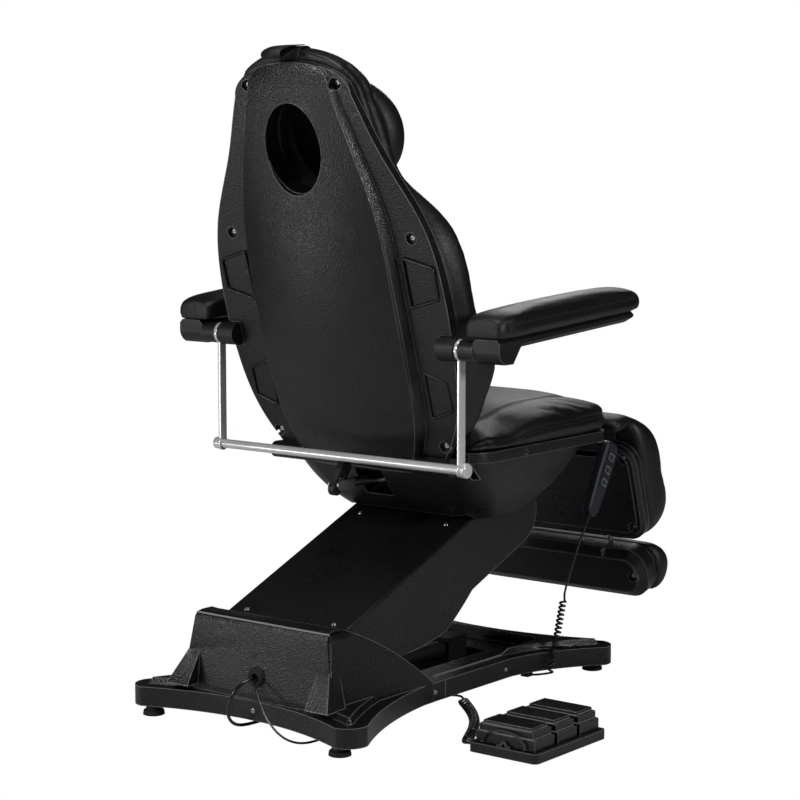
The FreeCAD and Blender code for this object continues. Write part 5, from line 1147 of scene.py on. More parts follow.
@dataclass
class BackRest(SubAssembly):
    """The back rest: shell, frame, cushion, pillow and strap.

    Attributes:
        strap_start: The strap's lower end under the pillow, ahead of and up from the hinge.
        strap_centre: The middle of its bow over the cushion, likewise from the hinge.
        strap_sweep: The bow's first and last angle and its step, in degrees.
        loop_foot: Which of the strap's points the loop starts from.
        strap_loop: The loose loop's points, ahead of and up from the strap.
        bolster: How far the cushion's sides swell out and ahead.
        bolster_ahead, bolster_side, bolster_up: Where that begins, and over which run.
        bolster_fade: Where it fades above, over which run, and by how much.
        pillow_growth: How much wider and taller the pillow is, from which height, and how far it moves ahead.
        recesses: Each recess's inner and outer edge, and its low and high end.
        recess_bend: Shares of a side at which a rim's corner is bent.
        panel_edge: The raised panel's edge: up, across and ahead.
        panel_top: The panel's top: up, half its width and ahead.
        panel_ends: Heights at which the top line begins.
        face_hole: The hole's middle, half height, half width and place ahead.
    """

    edges: dict[str, float] = field(default_factory=lambda: {
        "back_frame": 0.001, "back_shell": 0.0018, "back_screws": 0.0006,
    })
    strap_width: float = 0.05
    strap_thickness: float = 0.002
    strap_lift: float = 0.0025
    strap_start: tuple[float, float] = (0.094, 0.815)
    strap_centre: tuple[float, float] = (0.045, 0.85)
    strap_sweep: tuple[int, int, int] = (-20, 120, 10)
    strap_pitch: float = 0.006
    loop_pitch: float = 0.004
    loop_foot: int = -4
    strap_loop: tuple[tuple[float, float], ...] = (
        (0.012, 0.003), (-0.01, 0.008), (-0.036, 0.013), (-0.066, 0.012), (-0.074, 0.002), (-0.06, -0.006),
        (-0.03, 0.0), (-0.008, 0.001))
    shell_arch: HeadArch = HeadArch((0.815, 0.82, 0.872), (0.158, 0.156, 0.122), 0.886)
    cushion_arch: HeadArch = HeadArch((0.8, 0.868, 0.898), (0.17, 0.146, 0.104), 0.906)
    bolster: tuple[float, float] = (0.014, 0.026)
    bolster_ahead: tuple[float, float] = (0.035, 0.04)
    bolster_side: tuple[float, float] = (0.1, 0.15)
    bolster_up: tuple[float, float] = (0.1, 0.1)
    bolster_fade: tuple[float, float, float] = (0.48, 0.2, 0.75)
    pillow_growth: tuple[float, float, float, float] = (1.1, 1.27, 0.671, 0.014)
    cut_step: float = 0.012
    cuts_up: int = 5
    cuts_aside: int = 12
    rim_radius: float = 0.0034
    recesses: tuple[tuple[float, float, float, float], ...] = (
        (0.217, 0.292, 0.36, 0.47), (0.217, 0.273, 0.11, 0.215))
    recess_edge_share: float = 0.62
    recess_bend: tuple[float, float] = (0.16, 0.04)
    recess_ahead: float = 0.0045
    line_radius: float = 0.0014
    panel_edge: tuple[Point, ...] = (
        (0.0, 0.156, -0.004), (0.07, 0.188, -0.016), (0.15, 0.198, -0.019), (0.23, 0.206, -0.022),
        (0.315, 0.206, -0.021), (0.4, 0.204, -0.02), (0.47, 0.201, -0.017), (0.54, 0.196, -0.014),
        (0.62, 0.178, -0.011), (0.69, 0.16, -0.008), (0.76, 0.138, -0.003), (0.815, 0.119, 0.002))
    panel_top: Point = (0.872, 0.09, 0.014)
    panel_ends: tuple[float, float] = (0.854, 0.868)
    panel_steps: int = 8
    hole_steps: int = 64
    face_hole: tuple[float, float, float, float] = (0.709, 0.0985, 0.0755, -0.016)

    def build(self) -> None:
        """Makes the hard pieces, the recesses' rims, the cushions and the strap."""
        super().build()
        for side in (-1, 1):
            for row, recess in enumerate(self.recesses):
                self.rim(side, row, recess)
        self.shell_lines()
        cushion = self.cushion().build()
        self.pillow().build()
        self.strap(cushion)

    def shaped(self, node: str, shape: bmesh.types.BMesh) -> None:
        """Arches the top of the shell and moves its screws along.

        Args:
            node: The CAD node's name.
            shape: Its copy.
        """
        if node not in ("back_shell", "back_screws"):
            return
        if node == "back_shell":
            spring = self.shell_arch.ups[0]
            across = Vector((1.0, 0.0, 0.0))
            cuts = [(on_back(0.0, 0.0, spring + self.cut_step * step), BACK_RISE) for step in range(self.cuts_up)]
            cuts += [(Vector((self.cut_step * step, 0.0, 0.0)), across)
                     for step in range(-self.cuts_aside, self.cuts_aside + 1)]
            for place, way in cuts:
                head = [face for face in shape.faces
                        if max(up_the_back(vert.co) for vert in face.verts) > spring]
                near = {item for face in head for item in (face, *face.edges, *face.verts)}
                bmesh.ops.bisect_plane(shape, geom=list(near), dist=MERGE_DISTANCE, plane_co=place, plane_no=way)
        for vert in shape.verts:
            vert.co = self.shell_arch.moved(vert.co)

    def rim(self, side: int, row: int, recess: tuple[float, float, float, float]) -> None:
        """The raised rim round one of the shell's side recesses.

        Args:
            side: 1 for the sitter's left and -1 for the right.
            row: Which recess it is, counted from above.
            recess: The recess's inner and outer edge, and its low and high end.
        """
        inner, outer, low, high = recess
        middle = (low + high) / 2
        half = (high - low) / 2
        short = half * self.recess_edge_share
        corners = [Vector(corner) for corner in (
            (inner, middle + half), (outer, middle + short), (outer, middle - short), (inner, middle - half))]
        points = []
        for index, here in enumerate(corners):
            far, near = self.recess_bend
            before = corners[index - 1]
            after = corners[(index + 1) % 4]
            bend = [here.lerp(other, share) for other, share in (
                (before, far), (before, near), (after, near), (after, far))]
            points += [on_back(side * spot.x, self.recess_ahead, spot.y) for spot in bend]
        name = "recess_rim_%s_%d" % ("left" if side > 0 else "right", row)
        bead(name, "back", points, self.rim_radius, closed=True)

    def shell_lines(self) -> None:
        """The bright lines along the raised panel's edges and round the face hole."""
        shell = next(piece for piece in self.pieces if piece.name == "back_shell_piece")
        cover = surface(shell)
        lines = {}
        for side, name in ((1, "left"), (-1, "right")):
            lines["panel_line_" + name] = [
                on_back(side * wide, ahead, up) for up, wide, ahead in self.panel_edge]
        top, wide, ahead = self.panel_top
        first, second = self.panel_ends
        steps = self.panel_steps
        spots = [(step / steps, top) for step in range(steps, -steps - 1, -1)]
        spots = [(1, first), (1, second), *spots, (-1, second), (-1, first)]
        lines["panel_line_top"] = [
            self.shell_arch.moved(on_back(share * wide, ahead, up)) for share, up in spots]
        up, high, wide, ahead = self.face_hole
        turns = [math.tau * step / self.hole_steps for step in range(self.hole_steps)]
        lines["face_hole_line"] = [
            on_back(wide * math.cos(turn), ahead, up + high * math.sin(turn)) for turn in turns]
        for name, points in lines.items():
            laid = [cover.find_nearest(point)[0] for point in points]
            closed = name == "face_hole_line"
            if not closed:
                laid = curve_points(name, laid)
            bead(name, "back", laid, self.line_radius, closed)

    def cushion(self) -> Cushion:
        """The long back cushion, sewn across the shoulders and down both sides.

        Returns:
            The cushion to build.
        """
        shoulder = [on_back(x, 0.09 if abs(x) < 0.2 else 0.05, 0.575 - abs(x) * 0.1) for x in
                    (-0.27, -0.2, -0.1, 0.0, 0.1, 0.2, 0.27)]
        seams = [Seam(shoulder)]
        for side in (-1, 1):
            seams.append(Seam([on_back(side * x, ahead, up) for x, ahead, up in (
                (0.17, 0.07, 0.06), (0.185, 0.12, 0.12), (0.19, 0.125, 0.25), (0.185, 0.1, 0.38),
                (0.17, 0.09, 0.5), (0.155, 0.09, 0.56))]))
            seams.append(Seam([on_back(side * x, ahead, up) for x, ahead, up in (
                (0.262, 0.05, 0.07), (0.3, 0.062, 0.2), (0.306, 0.06, 0.34), (0.3, 0.055, 0.45),
                (0.268, 0.052, 0.535), (0.22, 0.052, 0.6), (0.188, 0.052, 0.7), (0.172, 0.052, 0.8),
                (0.14, 0.05, 0.872))], rows=()))
        return Cushion("back_cushion", AHEAD_OF_BACK, voxel=0.006, cap=0.022, fill=0.75, seams=tuple(seams),
                       form=self.swollen, softened=4)

    def swollen(self, place: Vector) -> Vector:
        """A point of the back cushion, with its side bolsters filled out and its top arched.

        Args:
            place: The point of the CAD solid.

        Returns:
            Where it comes to lie.
        """
        up = up_the_back(place)
        ahead = (place - BACK_HINGE).dot(AHEAD_OF_BACK)
        start, run, fade = self.bolster_fade
        share = eased(ahead, *self.bolster_ahead) * eased(up, *self.bolster_up)
        share *= 1 - fade * eased(up, start, run)
        side = eased(abs(place.x), *self.bolster_side)
        out = Vector((math.copysign(self.bolster[0], place.x), 0.0, 0.0)) + AHEAD_OF_BACK * self.bolster[1]
        return self.cushion_arch.moved(place + out * (share * side))

    def grown(self, place: Vector) -> Vector:
        """A point of the pillow, which stands taller and wider than its CAD solid.

        Args:
            place: The point of the CAD solid.

        Returns:
            Where it comes to lie.
        """
        wider, taller, middle, forward = self.pillow_growth
        rise = (up_the_back(place) - middle) * (taller - 1)
        moved = place + BACK_RISE * rise + AHEAD_OF_BACK * forward
        return Vector((moved.x * wider, moved.y, moved.z))

    def pillow(self) -> Cushion:
        """The half-moon pillow, which has no seam that shows.

        Returns:
            The cushion to build.
        """
        return Cushion("head_pillow", AHEAD_OF_BACK, voxel=0.005, cap=0.016, fill=0.7, form=self.grown,
                       softened=6)

    def strap(self, cushion: bpy.types.Object) -> None:
        """Lays the pillow's strap over the top of the back, with a loose loop at its end.

        Args:
            cushion: The back cushion that it lies on.
        """
        cover = surface(cushion)
        centre = on_back(0.0, *self.strap_centre)
        points = [on_back(0.0, *self.strap_start)]
        first, last, step = self.strap_sweep
        for degrees in range(first, last + 1, step):
            angle = math.radians(degrees)
            way = on_back(0.0, math.cos(angle), math.sin(angle)) - BACK_HINGE
            points.append(cover.ray_cast(centre, way)[0] + way * self.strap_lift)
        self.ribbon("pillow_strap_web", evenly(points, self.strap_pitch), "pillow_strap")
        foot = points[self.loop_foot]
        tail = [foot + on_back(0.0, ahead, up) - BACK_HINGE for ahead, up in self.strap_loop]
        self.ribbon("pillow_strap_tail", evenly(curve_points("tail_line", tail), self.loop_pitch), "")

    def ribbon(self, name: str, line: list[Vector], node: str) -> None:
        """A flat strap along a line.

        Args:
            name: The piece's name.
            line: Points along its middle.
            node: The CAD node that it stands for, or nothing.
        """
        shape = bmesh.new()
        half = self.strap_width / 2
        edges = [shape.edges.new([shape.verts.new(line[0] + Vector((x, 0, 0))) for x in (-half, half)])]
        for before, after in zip(line, line[1:]):
            grown = bmesh.ops.extrude_edge_only(shape, edges=edges)["geom"]
            verts = [item for item in grown if isinstance(item, bmesh.types.BMVert)]
            edges = [item for item in grown if isinstance(item, bmesh.types.BMEdge)
                     and all(vert in verts for vert in item.verts)]
            bmesh.ops.translate(shape, verts=verts, vec=after - before)
        bmesh.ops.recalc_face_normals(shape, faces=shape.faces[:])
        piece = new_piece(name, shape, "back")
        thick = piece.modifiers.new("thickness", "SOLIDIFY")
        thick.thickness = self.strap_thickness
        thick.offset = 0.0
        if node:
            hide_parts(node)
        FINISHES["strap"].put_on(piece)


@dataclass
class Armrests(SubAssembly):
    """The two folding armrests and the roll holder on their axles.

    Attributes:
        seam_xs: How far out a pad's two seams run.
        seam_line: Their places from behind to in front: y and z.
    """

    edges: dict[str, float] = field(default_factory=lambda: {
        "armrest_left_cover": 0.003, "armrest_right_cover": 0.003, "roll_arm_left": 0.0015,
        "roll_arm_right": 0.0015, "roll_bar": 0.001,
    })
    seam_xs: tuple[float, float] = (0.344, 0.458)
    seam_line: tuple[tuple[float, float], ...] = (
        (0.3004, 0.852), (0.1704, 0.861), (0.0304, 0.869), (-0.0996, 0.876), (-0.1796, 0.881))

    def build(self) -> None:
        """Makes the hard pieces and the two pads."""
        super().build()
        for name, side in (("armrest_left_pad", 1), ("armrest_right_pad", -1)):
            Cushion(name, UPWARDS, voxel=0.004, cap=0.005, fill=0.85, seams=self.pad_seams(side)).build()

    def pad_seams(self, side: int) -> tuple[Seam, ...]:
        """The seam along each side of a pad.

        Args:
            side: 1 for the sitter's left and -1 for the right.

        Returns:
            The seams.
        """
        return tuple(Seam([(side * x, y, z) for y, z in self.seam_line], rows=(0.004,)) for x in self.seam_xs)


@dataclass
class LegRest(SubAssembly):
    """The leg rest and the sliding foot rest.

    Attributes:
        half_width: Half the shells' width.
        bead_inset: How far inside the edge the raised line runs.
        bead_radius: The line's radius.
        corner: The radius of its corners.
        corner_steps: How many steps round each corner.
        leg_span: The leg shell's top and bottom below the hinge, and its rear face ahead of it.
        foot_span: The foot shell's, likewise.
        seam_place: The seams' distance from the middle, and ahead of the hinge.
        seam_bottom: Where the seams end below the hinge.
    """

    edges: dict[str, float] = field(default_factory=lambda: {
        "legrest_frame": 0.001, "legrest_shell": 0.003, "legrest_screws": 0.0006,
        "footrest_shell": 0.003, "footrest_rods": 0.0008, "footrest_screws": 0.0006,
    })
    half_width: float = 0.262
    bead_inset: float = 0.02
    bead_radius: float = 0.0016
    corner: float = 0.04
    corner_steps: int = 8
    leg_span: tuple[float, float, float] = (0.022, 0.272, 0.012)
    foot_span: tuple[float, float, float] = (0.289, 0.413, -0.024)
    seam_place: tuple[float, float] = (0.19, 0.14)
    seam_bottom: float = 0.262

    def build(self) -> None:
        """Makes the hard pieces, their raised edge lines and the two cushions."""
        super().build()
        for name, body, span in (
                ("legrest_edge_line", "legrest", self.leg_span),
                ("footrest_edge_line", "footrest", self.foot_span)):
            self.edge_line(name, body, span)
        Cushion("legrest_cushion", AHEAD_OF_LEG, voxel=0.006, cap=0.014, fill=0.8, seams=self.seams(),
                softened=12, pressure=8.0).build()
        Cushion("footrest_cushion", AHEAD_OF_LEG, voxel=0.005, cap=0.006, fill=0.8).build()

    def seams(self) -> tuple[Seam, ...]:
        """A seam down each side of the leg cushion's face.

        Returns:
            The seams.
        """
        across, ahead = self.seam_place
        return tuple(
            Seam([on_leg(side * across, ahead, self.seam_bottom * quarter / 4) for quarter in range(5)])
            for side in (-1, 1))

    def edge_line(self, name: str, body: str, span: tuple[float, float, float]) -> None:
        """The raised line just inside a shell's edge.

        Args:
            name: The piece's name.
            body: The CAD body that carries it.
            span: The shell's top and bottom below the hinge, and its rear face ahead of it.
        """
        top, bottom, ahead = span
        half = self.half_width - self.bead_inset
        low = bottom - self.bead_inset
        high = top + self.bead_inset
        points = []
        for x, down, start in ((half, high, 0), (half, low, 90), (-half, low, 180), (-half, high, 270)):
            centre_x = x - math.copysign(self.corner, x)
            centre_down = down + self.corner if down == high else down - self.corner
            for step in range(self.corner_steps + 1):
                angle = math.radians(start - 90 + step * 90 / self.corner_steps)
                points.append(on_leg(centre_x + self.corner * math.cos(angle), ahead,
                                     centre_down + self.corner * math.sin(angle)))
        bead(name, body, points, self.bead_radius, closed=True)


@dataclass
class Handset(SubAssembly):
    """The handset with its keys, strain relief and hook."""

    edges: dict[str, float] = field(default_factory=lambda: {"handset_case": 0.0015, "handset_hook": 0.0004})
    keys: tuple[str, ...] = ("key_upper", "key_middle", "key_lower")
    outline_inset: float = 0.0022
    outline_width: float = 0.0009
    boot_top: Point = (-0.290, -0.2422, 0.3747)
    boot_rings: int = 6
    boot_pitch: float = 0.0042
    boot_radius: float = 0.0062
    boot_start: float = 0.2
    boot_share: float = 0.66
    boot_waist: float = 0.94
    boot_taper: float = 0.07
    boot_sides: int = 24
    boot_edge: float = 0.0004

    def build(self) -> None:
        """Makes the case, the hook, the keys and the boot."""
        super().build()
        for key in self.keys:
            self.outlined_key(key)
        self.boot()

    def outlined_key(self, node: str) -> None:
        """A key with a pale line round its face.

        Args:
            node: The key's CAD node.
        """
        shape = merged_copy(node)
        face = [item for item in shape.faces if item.normal.x < -FACING]
        bmesh.ops.inset_region(shape, faces=face, thickness=self.outline_inset, use_even_offset=True)
        ring = bmesh.ops.inset_region(shape, faces=face, thickness=self.outline_width, use_even_offset=True)
        for item in ring["faces"]:
            item.material_index = 1
        piece = new_piece(node + "_piece", shape, NODE_BODY[node])
        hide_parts(node)
        marks = [polygon.material_index for polygon in piece.data.polygons]
        FINISHES["handset_keys"].put_on(piece)
        piece.data.materials.append(KEY_LINE.material())
        for polygon, mark in zip(piece.data.polygons, marks):
            polygon.material_index = mark
        LOG.info("outlined %s", piece.name)

    def boot(self) -> None:
        """The ribbed rubber boot where the lead leaves the case."""
        way = Vector((0.0, math.sin(HANDSET_TILT), -math.cos(HANDSET_TILT)))
        shape = bmesh.new()
        for index in range(self.boot_rings):
            radius = self.boot_radius * (1 - self.boot_taper * index)
            place = Vector(self.boot_top) + way * self.boot_pitch * (index + self.boot_start)
            add_peg(shape, (radius, radius * self.boot_waist), self.boot_pitch * self.boot_share, way, place,
                    self.boot_sides)
        round_edges(shape, self.boot_edge)
        FINISHES["rubber"].put_on(new_piece("handset_boot", shape, "seat"))


@dataclass
class FootControl(SubAssembly):
    """The foot control's tray and its three rocking pedals.

    Attributes:
        steps: A pedal's steps: half length, half width, bottom and top.
        rib_span: The tray rib's half width and rise.
        rib_inset: How far inside the tray's end, and below its top, the rib starts.
        rib_radius: The rib's radius.
        rib_steps: How many steps it is made of.
    """

    edges: dict[str, float] = field(default_factory=lambda: {
        "pedal_tray": 0.002, "pedal_front": 0.0035, "pedal_middle": 0.0035, "pedal_rear": 0.0035,
    })
    steps: tuple[tuple[float, float, float, float], ...] = (
        (0.073, 0.0355, 0.016, 0.045), (0.067, 0.0325, 0.04, 0.06), (0.06, 0.029, 0.055, 0.067))
    rib_span: tuple[float, float] = (0.052, 0.03)
    rib_inset: tuple[float, float] = (0.006, 0.008)
    rib_radius: float = 0.0022
    rib_steps: int = 24

    def build(self) -> None:
        """Makes the tray, the pedals and the curved rib on the tray's end."""
        super().build()
        low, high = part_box("pedal_tray")
        wide, rise = self.rib_span
        inset, drop = self.rib_inset
        middle = (low.x + high.x) / 2
        turns = [math.pi * step / self.rib_steps for step in range(self.rib_steps + 1)]
        bead("tray_rib", NODE_BODY["pedal_tray"], [
            Vector((middle + wide * math.cos(turn), high.y - inset, high.z - drop + rise * math.sin(turn)))
            for turn in turns], self.rib_radius)

    def shaped(self, node: str, shape: bmesh.types.BMesh) -> None:
        """Makes a pedal as a skirt with a stepped hood on it.

        Args:
            node: The CAD node's name.
            shape: Its copy.
        """
        if node == "pedal_tray":
            return
        low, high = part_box(node)
        shape.clear()
        for long, wide, bottom, top in self.steps:
            made = bmesh.ops.create_cube(shape, size=1.0)["verts"]
            bmesh.ops.scale(shape, verts=made, vec=(long * 2, wide * 2, top - bottom))
            bmesh.ops.translate(shape, verts=made, vec=(
                (low.x + high.x) / 2, (low.y + high.y) / 2, (bottom + top) / 2))


@dataclass
class Cords:
    """The mains lead with its coil and plug, the foot control's lead and the handset's lead."""

    mains_diameter: float = 0.007
    thin_diameter: float = 0.005
    curl_radius: float = 0.0064
    curl_steps: int = 16
    mains_route: tuple[Point, ...] = (
        (0.004, 0.5714, 0.112), (0.008, 0.5924, 0.109), (0.015, 0.6114, 0.098), (0.022, 0.6244, 0.079),
        (0.028, 0.6294, 0.056), (0.032, 0.6244, 0.034), (0.034, 0.6094, 0.017), (0.035, 0.5884, 0.0075),
        (0.034, 0.5624, 0.0042), (0.033, 0.5224, 0.0036), (0.035, 0.4754, 0.0036), (0.031, 0.4254, 0.0036),
        (0.030, 0.3954, 0.0036), (0.02965, 0.3654, 0.0036),
    )
    pedal_route: tuple[Point, ...] = (
        (-0.004, 0.5714, 0.112), (-0.006, 0.5864, 0.109), (-0.028, 0.6024, 0.094), (-0.048, 0.6144, 0.074),
        (-0.072, 0.6244, 0.052), (-0.098, 0.6304, 0.032), (-0.124, 0.6294, 0.016), (-0.146, 0.6184, 0.007),
        (-0.158, 0.5944, 0.0032), (-0.160, 0.5504, 0.0026), (-0.152, 0.4954, 0.0026), (-0.149, 0.4354, 0.0026),
        (-0.141, 0.3754, 0.0026), (-0.131, 0.3154, 0.0026), (-0.125, 0.2554, 0.0026), (-0.122, 0.2004, 0.0026),
        (-0.126, 0.1554, 0.0028), (-0.138, 0.1224, 0.0036), (-0.160, 0.1004, 0.005), (-0.184, 0.1004, 0.0065),
        (-0.202, 0.1164, 0.0078), (-0.213, 0.1334, 0.0094),
    )
    handset_route: tuple[Point, ...] = (
        (-0.290, -0.2422, 0.3747), (-0.290, -0.2316, 0.356), (-0.286, -0.2246, 0.334), (-0.276, -0.2216, 0.305),
        (-0.264, -0.2206, 0.265), (-0.252, -0.2201, 0.230), (-0.245, -0.2196, 0.205), (-0.242, -0.2191, 0.190),
    )
    pedal_exit: Point = (-0.444, 0.4124, 0.012)
    handset_gland: Point = (-0.202, -0.1416, 0.011)
    handset_axis_end: Point = (-0.252, -0.1516, 0.025)
    pedal_curls: int = 18
    pedal_curl_radius: float = 0.0093
    pedal_sag: Point = (-0.015, -0.011, 0.0)
    handset_curls: int = 16
    coil_radius: float = 0.0385
    coil_turns: int = 8
    coil_step: float = 0.00854
    coil_points: int = 32
    floor_gap: float = 0.0003
    plug_ease: float = 0.02
    curl_ease: float = 0.6
    pedal_axis_in: tuple[float, float] = (-0.016, 0.019)
    pedal_axis_out: tuple[float, float] = (0.024, -0.016)

    def build(self) -> None:
        """Makes all the cords."""
        self.mains()
        self.pedal()
        self.handset()

    def laid(self, name: str, points: list[Vector], diameter: float, nodes: tuple[str, ...],
             far_end: str, lay: str, pieces: list[bpy.types.Object]) -> None:
        """One free cord on the base, with its length logged.

        Args:
            name: The piece's name.
            points: The points along its middle.
            diameter: Its diameter.
            nodes: The CAD nodes that it stands for.
            far_end: What is at its far end; not used.
            lay: How it lies; not used.
            pieces: The pieces on it; not used.
        """
        cord = tube(name, points, diameter)
        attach(cord, "base")
        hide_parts(*nodes)
        FINISHES["cord"].put_on(cord)
        LOG.info("laid %s, %.3f m", name, line_length(points))

    def mains(self) -> None:
        """The mains lead, its coil under the base and its plug."""
        points = curve_points("mains_line", self.mains_route)
        coil = self.coil(points[-1])
        shape = merged_copy("mains_plug")
        round_edges(shape, 0.0008)
        plug = new_piece("mains_plug_piece", shape, "base")
        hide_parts("mains_plug")
        FINISHES["plug"].put_on(plug)
        self.laid("mains_cord", points + coil[1:], self.mains_diameter, ("mains_lead", "mains_coil"), "plug",
                  "coiled", [plug])

    def coil(self, start: Vector) -> list[Vector]:
        """The coil's line: two layers, in and out again.

        Args:
            start: Where the lead reaches the coil.

        Returns:
            Points from the start to the plug.
        """
        spread = (self.coil_turns / 2 - 0.25) * self.coil_step / 2
        outer = self.coil_radius + spread
        inner = self.coil_radius - spread
        middle = Vector((start.x + outer, start.y, 0.0))
        steps = self.coil_turns * self.coil_points
        points = []
        for index in range(steps + 1):
            turns = index / self.coil_points
            share = 1 - abs(2 * turns / self.coil_turns - 1)
            radius = outer + (inner - outer) * min(1.0, share * self.coil_turns / (self.coil_turns - 0.5))
            climb = min(1.0, max(0.0, (turns - self.coil_turns / 2) * 2 + 0.5))
            angle = math.pi + turns * math.tau
            height = start.z + climb * self.coil_step
            points.append(middle + Vector((radius * math.cos(angle), radius * math.sin(angle), height)))
        low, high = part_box("mains_plug")
        end = Vector(((low.x + high.x) / 2, high.y, (low.z + high.z) / 2))
        last = points[-1]
        ease = Vector((0.0, self.plug_ease, 0.0))
        return points[:-1] + curve_points("plug_line", [last, last - ease, end + ease, end])

    def curl(self, start: Vector, axis_start: Vector, axis_end: Vector, turns: int, end: Vector,
             end_way: Vector, radius: float, sag: Vector) -> list[Vector]:
        """A curly run between two axis points.

        Args:
            start: Where the plain lead ends.
            axis_start: The curls' axis at their start.
            axis_end: The curls' axis at their end.
            turns: How many curls there are.
            end: Where the cord goes into its gland.
            end_way: The way that it goes in.
            radius: The curls' radius.
            sag: How far the axis bows out at its middle.

        Returns:
            Points from start to end.
        """
        span = axis_end - axis_start
        way = span.normalized()
        steady = Vector((0, 0, 1)) if abs(way.z) < 0.8 else Vector((1, 0, 0))
        first = way.cross(steady).normalized()
        second = way.cross(first)
        points = []
        steps = turns * self.curl_steps
        for index in range(steps + 1):
            angle = index / self.curl_steps * math.tau
            share = index / steps
            out = first * (radius * math.cos(angle)) + second * (radius * math.sin(angle))
            points.append(axis_start + span * share + sag * math.sin(math.pi * share) + out)
        run = self.thin_diameter * 2
        lead_in = curve_points("curl_in", [start, start.lerp(points[0], 0.5), points[0]])
        last = points[-1]
        away = (last - points[-2]).normalized()
        lead_out = curve_points("curl_out", [last, last + away * run * self.curl_ease, end - end_way * run, end])
        return lead_in[:-1] + points + lead_out[1:]

    def pedal(self) -> None:
        """The foot control's lead: plain under the base, curly beside it."""
        points = curve_points("pedal_line", self.pedal_route)
        start = points[-1]
        end = Vector(self.pedal_exit)
        height = self.pedal_curl_radius + self.thin_diameter / 2 + self.floor_gap
        axis_start = Vector((start.x + self.pedal_axis_in[0], start.y + self.pedal_axis_in[1], height))
        axis_end = Vector((end.x + self.pedal_axis_out[0], end.y + self.pedal_axis_out[1], height))
        curl = self.curl(start, axis_start, axis_end, self.pedal_curls, end, Vector((-1, 0, 0)),
                         self.pedal_curl_radius, Vector(self.pedal_sag))
        self.laid("pedal_cord", points + curl[1:], self.thin_diameter, ("pedal_lead", "pedal_curl"), "object",
                  "loose", [])

    def handset(self) -> None:
        """The handset's lead, plain above and curly below."""
        points = curve_points("handset_line", self.handset_route)
        start = points[-1]
        way = (points[-1] - points[-2]).normalized()
        axis_start = start + way * (3 * self.thin_diameter)
        end = Vector(self.handset_gland)
        curl = self.curl(start, axis_start, Vector(self.handset_axis_end), self.handset_curls, end,
                         Vector((1, 0, 0)), self.curl_radius, Vector())
        for name, line, node, bodies, blend_ends in (
                ("handset_cord", points, "handset_lead", ("lift_arm", "seat"), (points[-1], points[0])),
                ("handset_curly_cord", curl, "handset_curl", ("base", "lift_arm"), (end, start))):
            cord = tube(name, line, self.thin_diameter)
            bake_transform(cord)
            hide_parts(node)
            FINISHES["cord"].put_on(cord)
            LOG.info("laid %s, %.3f m", name, line_length(line))


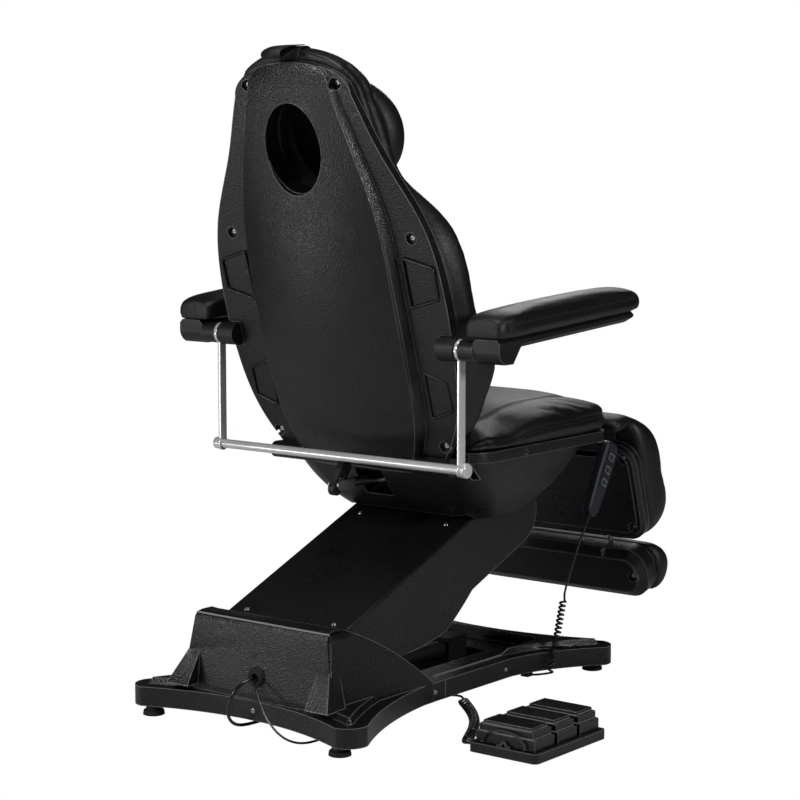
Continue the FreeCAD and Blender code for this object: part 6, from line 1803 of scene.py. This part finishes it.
@dataclass
class Studio:
    """The camera, the soft lights and the pale floor.

    Attributes:
        camera_place: Where the camera stands.
        camera_azimuth: The side that it looks from, in degrees.
        camera_elevation: How far it looks down, in degrees.
        lens: Its focal length in millimetres.
        sensor: Its sensor's width in millimetres.
        reach: How far it sees.
        floor_size: The length of the floor's side.
        floor_grey: The floor's colour, as the chair sees it.
        floor_roughness: The floor's roughness.
        sky: How bright the world is to the chair.
        lights: Each light's name, place, target, side and power in watts.
    """

    camera_place: Point = (-3.03298, 3.94938, 1.23592)
    camera_azimuth: float = 218.123
    camera_elevation: float = 6.795
    lens: float = 99.70
    sensor: float = 36.0
    reach: float = 100.0
    floor_size: float = 30.0
    floor_grey: Colour = (0.75, 0.75, 0.75)
    floor_roughness: float = 0.8
    sky: float = 0.025
    lights: tuple[tuple[str, Point, Point, float, float], ...] = (
        ("left_softbox", (1.7, 4.2, 2.5), (0.0, 0.1504, 0.75), 0.8, 50.0),
        ("right_softbox", (-4.4, 0.2, 2.0), (0.0, 0.0504, 0.6), 0.8, 56.0),
        ("top_softbox", (-0.4, 0.9, 3.4), (0.0, 0.1504, 0.6), 1.0, 30.0),
        ("front_softbox", (1.8, -3.4496, 2.6), (0.0, 0.1504, 0.8), 1.2, 16.0),
        ("low_softbox", (2.1, 2.9, 0.45), (0.0, 0.45, 0.8), 0.7, 9.0),
    )

    def build(self) -> None:
        """Makes the camera, the lights, the floor and the world."""
        self.camera()
        for name, place, target, size, power in self.lights:
            lamp = bpy.data.lights.new(name, "AREA")
            lamp.shape = "SQUARE"
            lamp.size = size
            lamp.energy = power
            self.stood(name, lamp, place, Vector(target) - Vector(place))
        self.floor()
        self.world()
        bpy.context.scene.view_settings.view_transform = "Standard"

    def camera(self) -> None:
        """Stands the camera where the photograph was taken from."""
        camera = bpy.data.cameras.new("photo_camera")
        camera.sensor_width = self.sensor
        camera.lens = self.lens
        camera.dof.use_dof = False
        camera.clip_end = self.reach
        azimuth = math.radians(self.camera_azimuth)
        elevation = math.radians(self.camera_elevation)
        back = Vector((math.sin(azimuth) * math.cos(elevation), -math.cos(azimuth) * math.cos(elevation),
                       math.sin(elevation)))
        bpy.context.scene.camera = self.stood("photo_camera", camera, self.camera_place, -back)

    def stood(self, name: str, data: bpy.types.ID, place: Point, way: Vector) -> bpy.types.Object:
        """Stands a camera or a light at a place, looking one way.

        Args:
            name: The object's name.
            data: The camera or the light.
            place: Where it stands.
            way: The way that it looks.

        Returns:
            The object.
        """
        stand = placed(name, data)
        stand.location = place
        stand.rotation_mode = "QUATERNION"
        stand.rotation_quaternion = way.to_track_quat("-Z", "Y")
        return stand

    def floor(self) -> None:
        """A plain pale floor that the camera sees as white."""
        shape = bmesh.new()
        bmesh.ops.create_grid(shape, x_segments=1, y_segments=1, size=self.floor_size / 2)
        mesh = bpy.data.meshes.new("floor")
        shape.to_mesh(mesh)
        shape.free()
        placed("floor", mesh)
        material = bpy.data.materials.new("pale_floor")
        material.use_nodes = True
        shading = Shading(material.node_tree)
        plain = material.node_tree.nodes["Principled BSDF"]
        plain.inputs["Base Color"].default_value = (*self.floor_grey, 1.0)
        plain.inputs["Roughness"].default_value = self.floor_roughness
        white = shading.add("ShaderNodeEmission", None, {"Color": (1.0, 1.0, 1.0, 1.0), "Strength": 1.0})
        seen = shading.add("ShaderNodeLightPath")
        mixed = shading.add("ShaderNodeMixShader", None, {
            0: seen.outputs["Is Camera Ray"], 1: plain.outputs["BSDF"], 2: white.outputs["Emission"]})
        output = material.node_tree.nodes["Material Output"]
        shading.link(mixed.outputs["Shader"], output.inputs["Surface"])
        mesh.materials.append(material)

    def world(self) -> None:
        """A white world to the camera, and a soft grey one to the chair."""
        world = bpy.data.worlds.new("studio")
        world.use_nodes = True
        bpy.context.scene.world = world
        shading = Shading(world.node_tree)
        seen = shading.add("ShaderNodeLightPath")
        strength = shading.spread(seen.outputs["Is Camera Ray"], 0.0, 1.0, self.sky, 1.0)
        ground = world.node_tree.nodes["Background"]
        ground.inputs["Color"].default_value = (1.0, 1.0, 1.0, 1.0)
        shading.link(strength, ground.inputs["Strength"])


def main() -> None:
    """Builds and dresses the chair, piece by piece."""
    Studio().build()
    Cords().build()
    for assembly in (Base(), LiftArm(), Seat(), BackRest(), Armrests(), LegRest(), Handset(), FootControl()):
        assembly.build()
        assembly.dress()
        LOG.info("built %s", type(assembly).__name__)


if __name__ == "__main__":
    main()
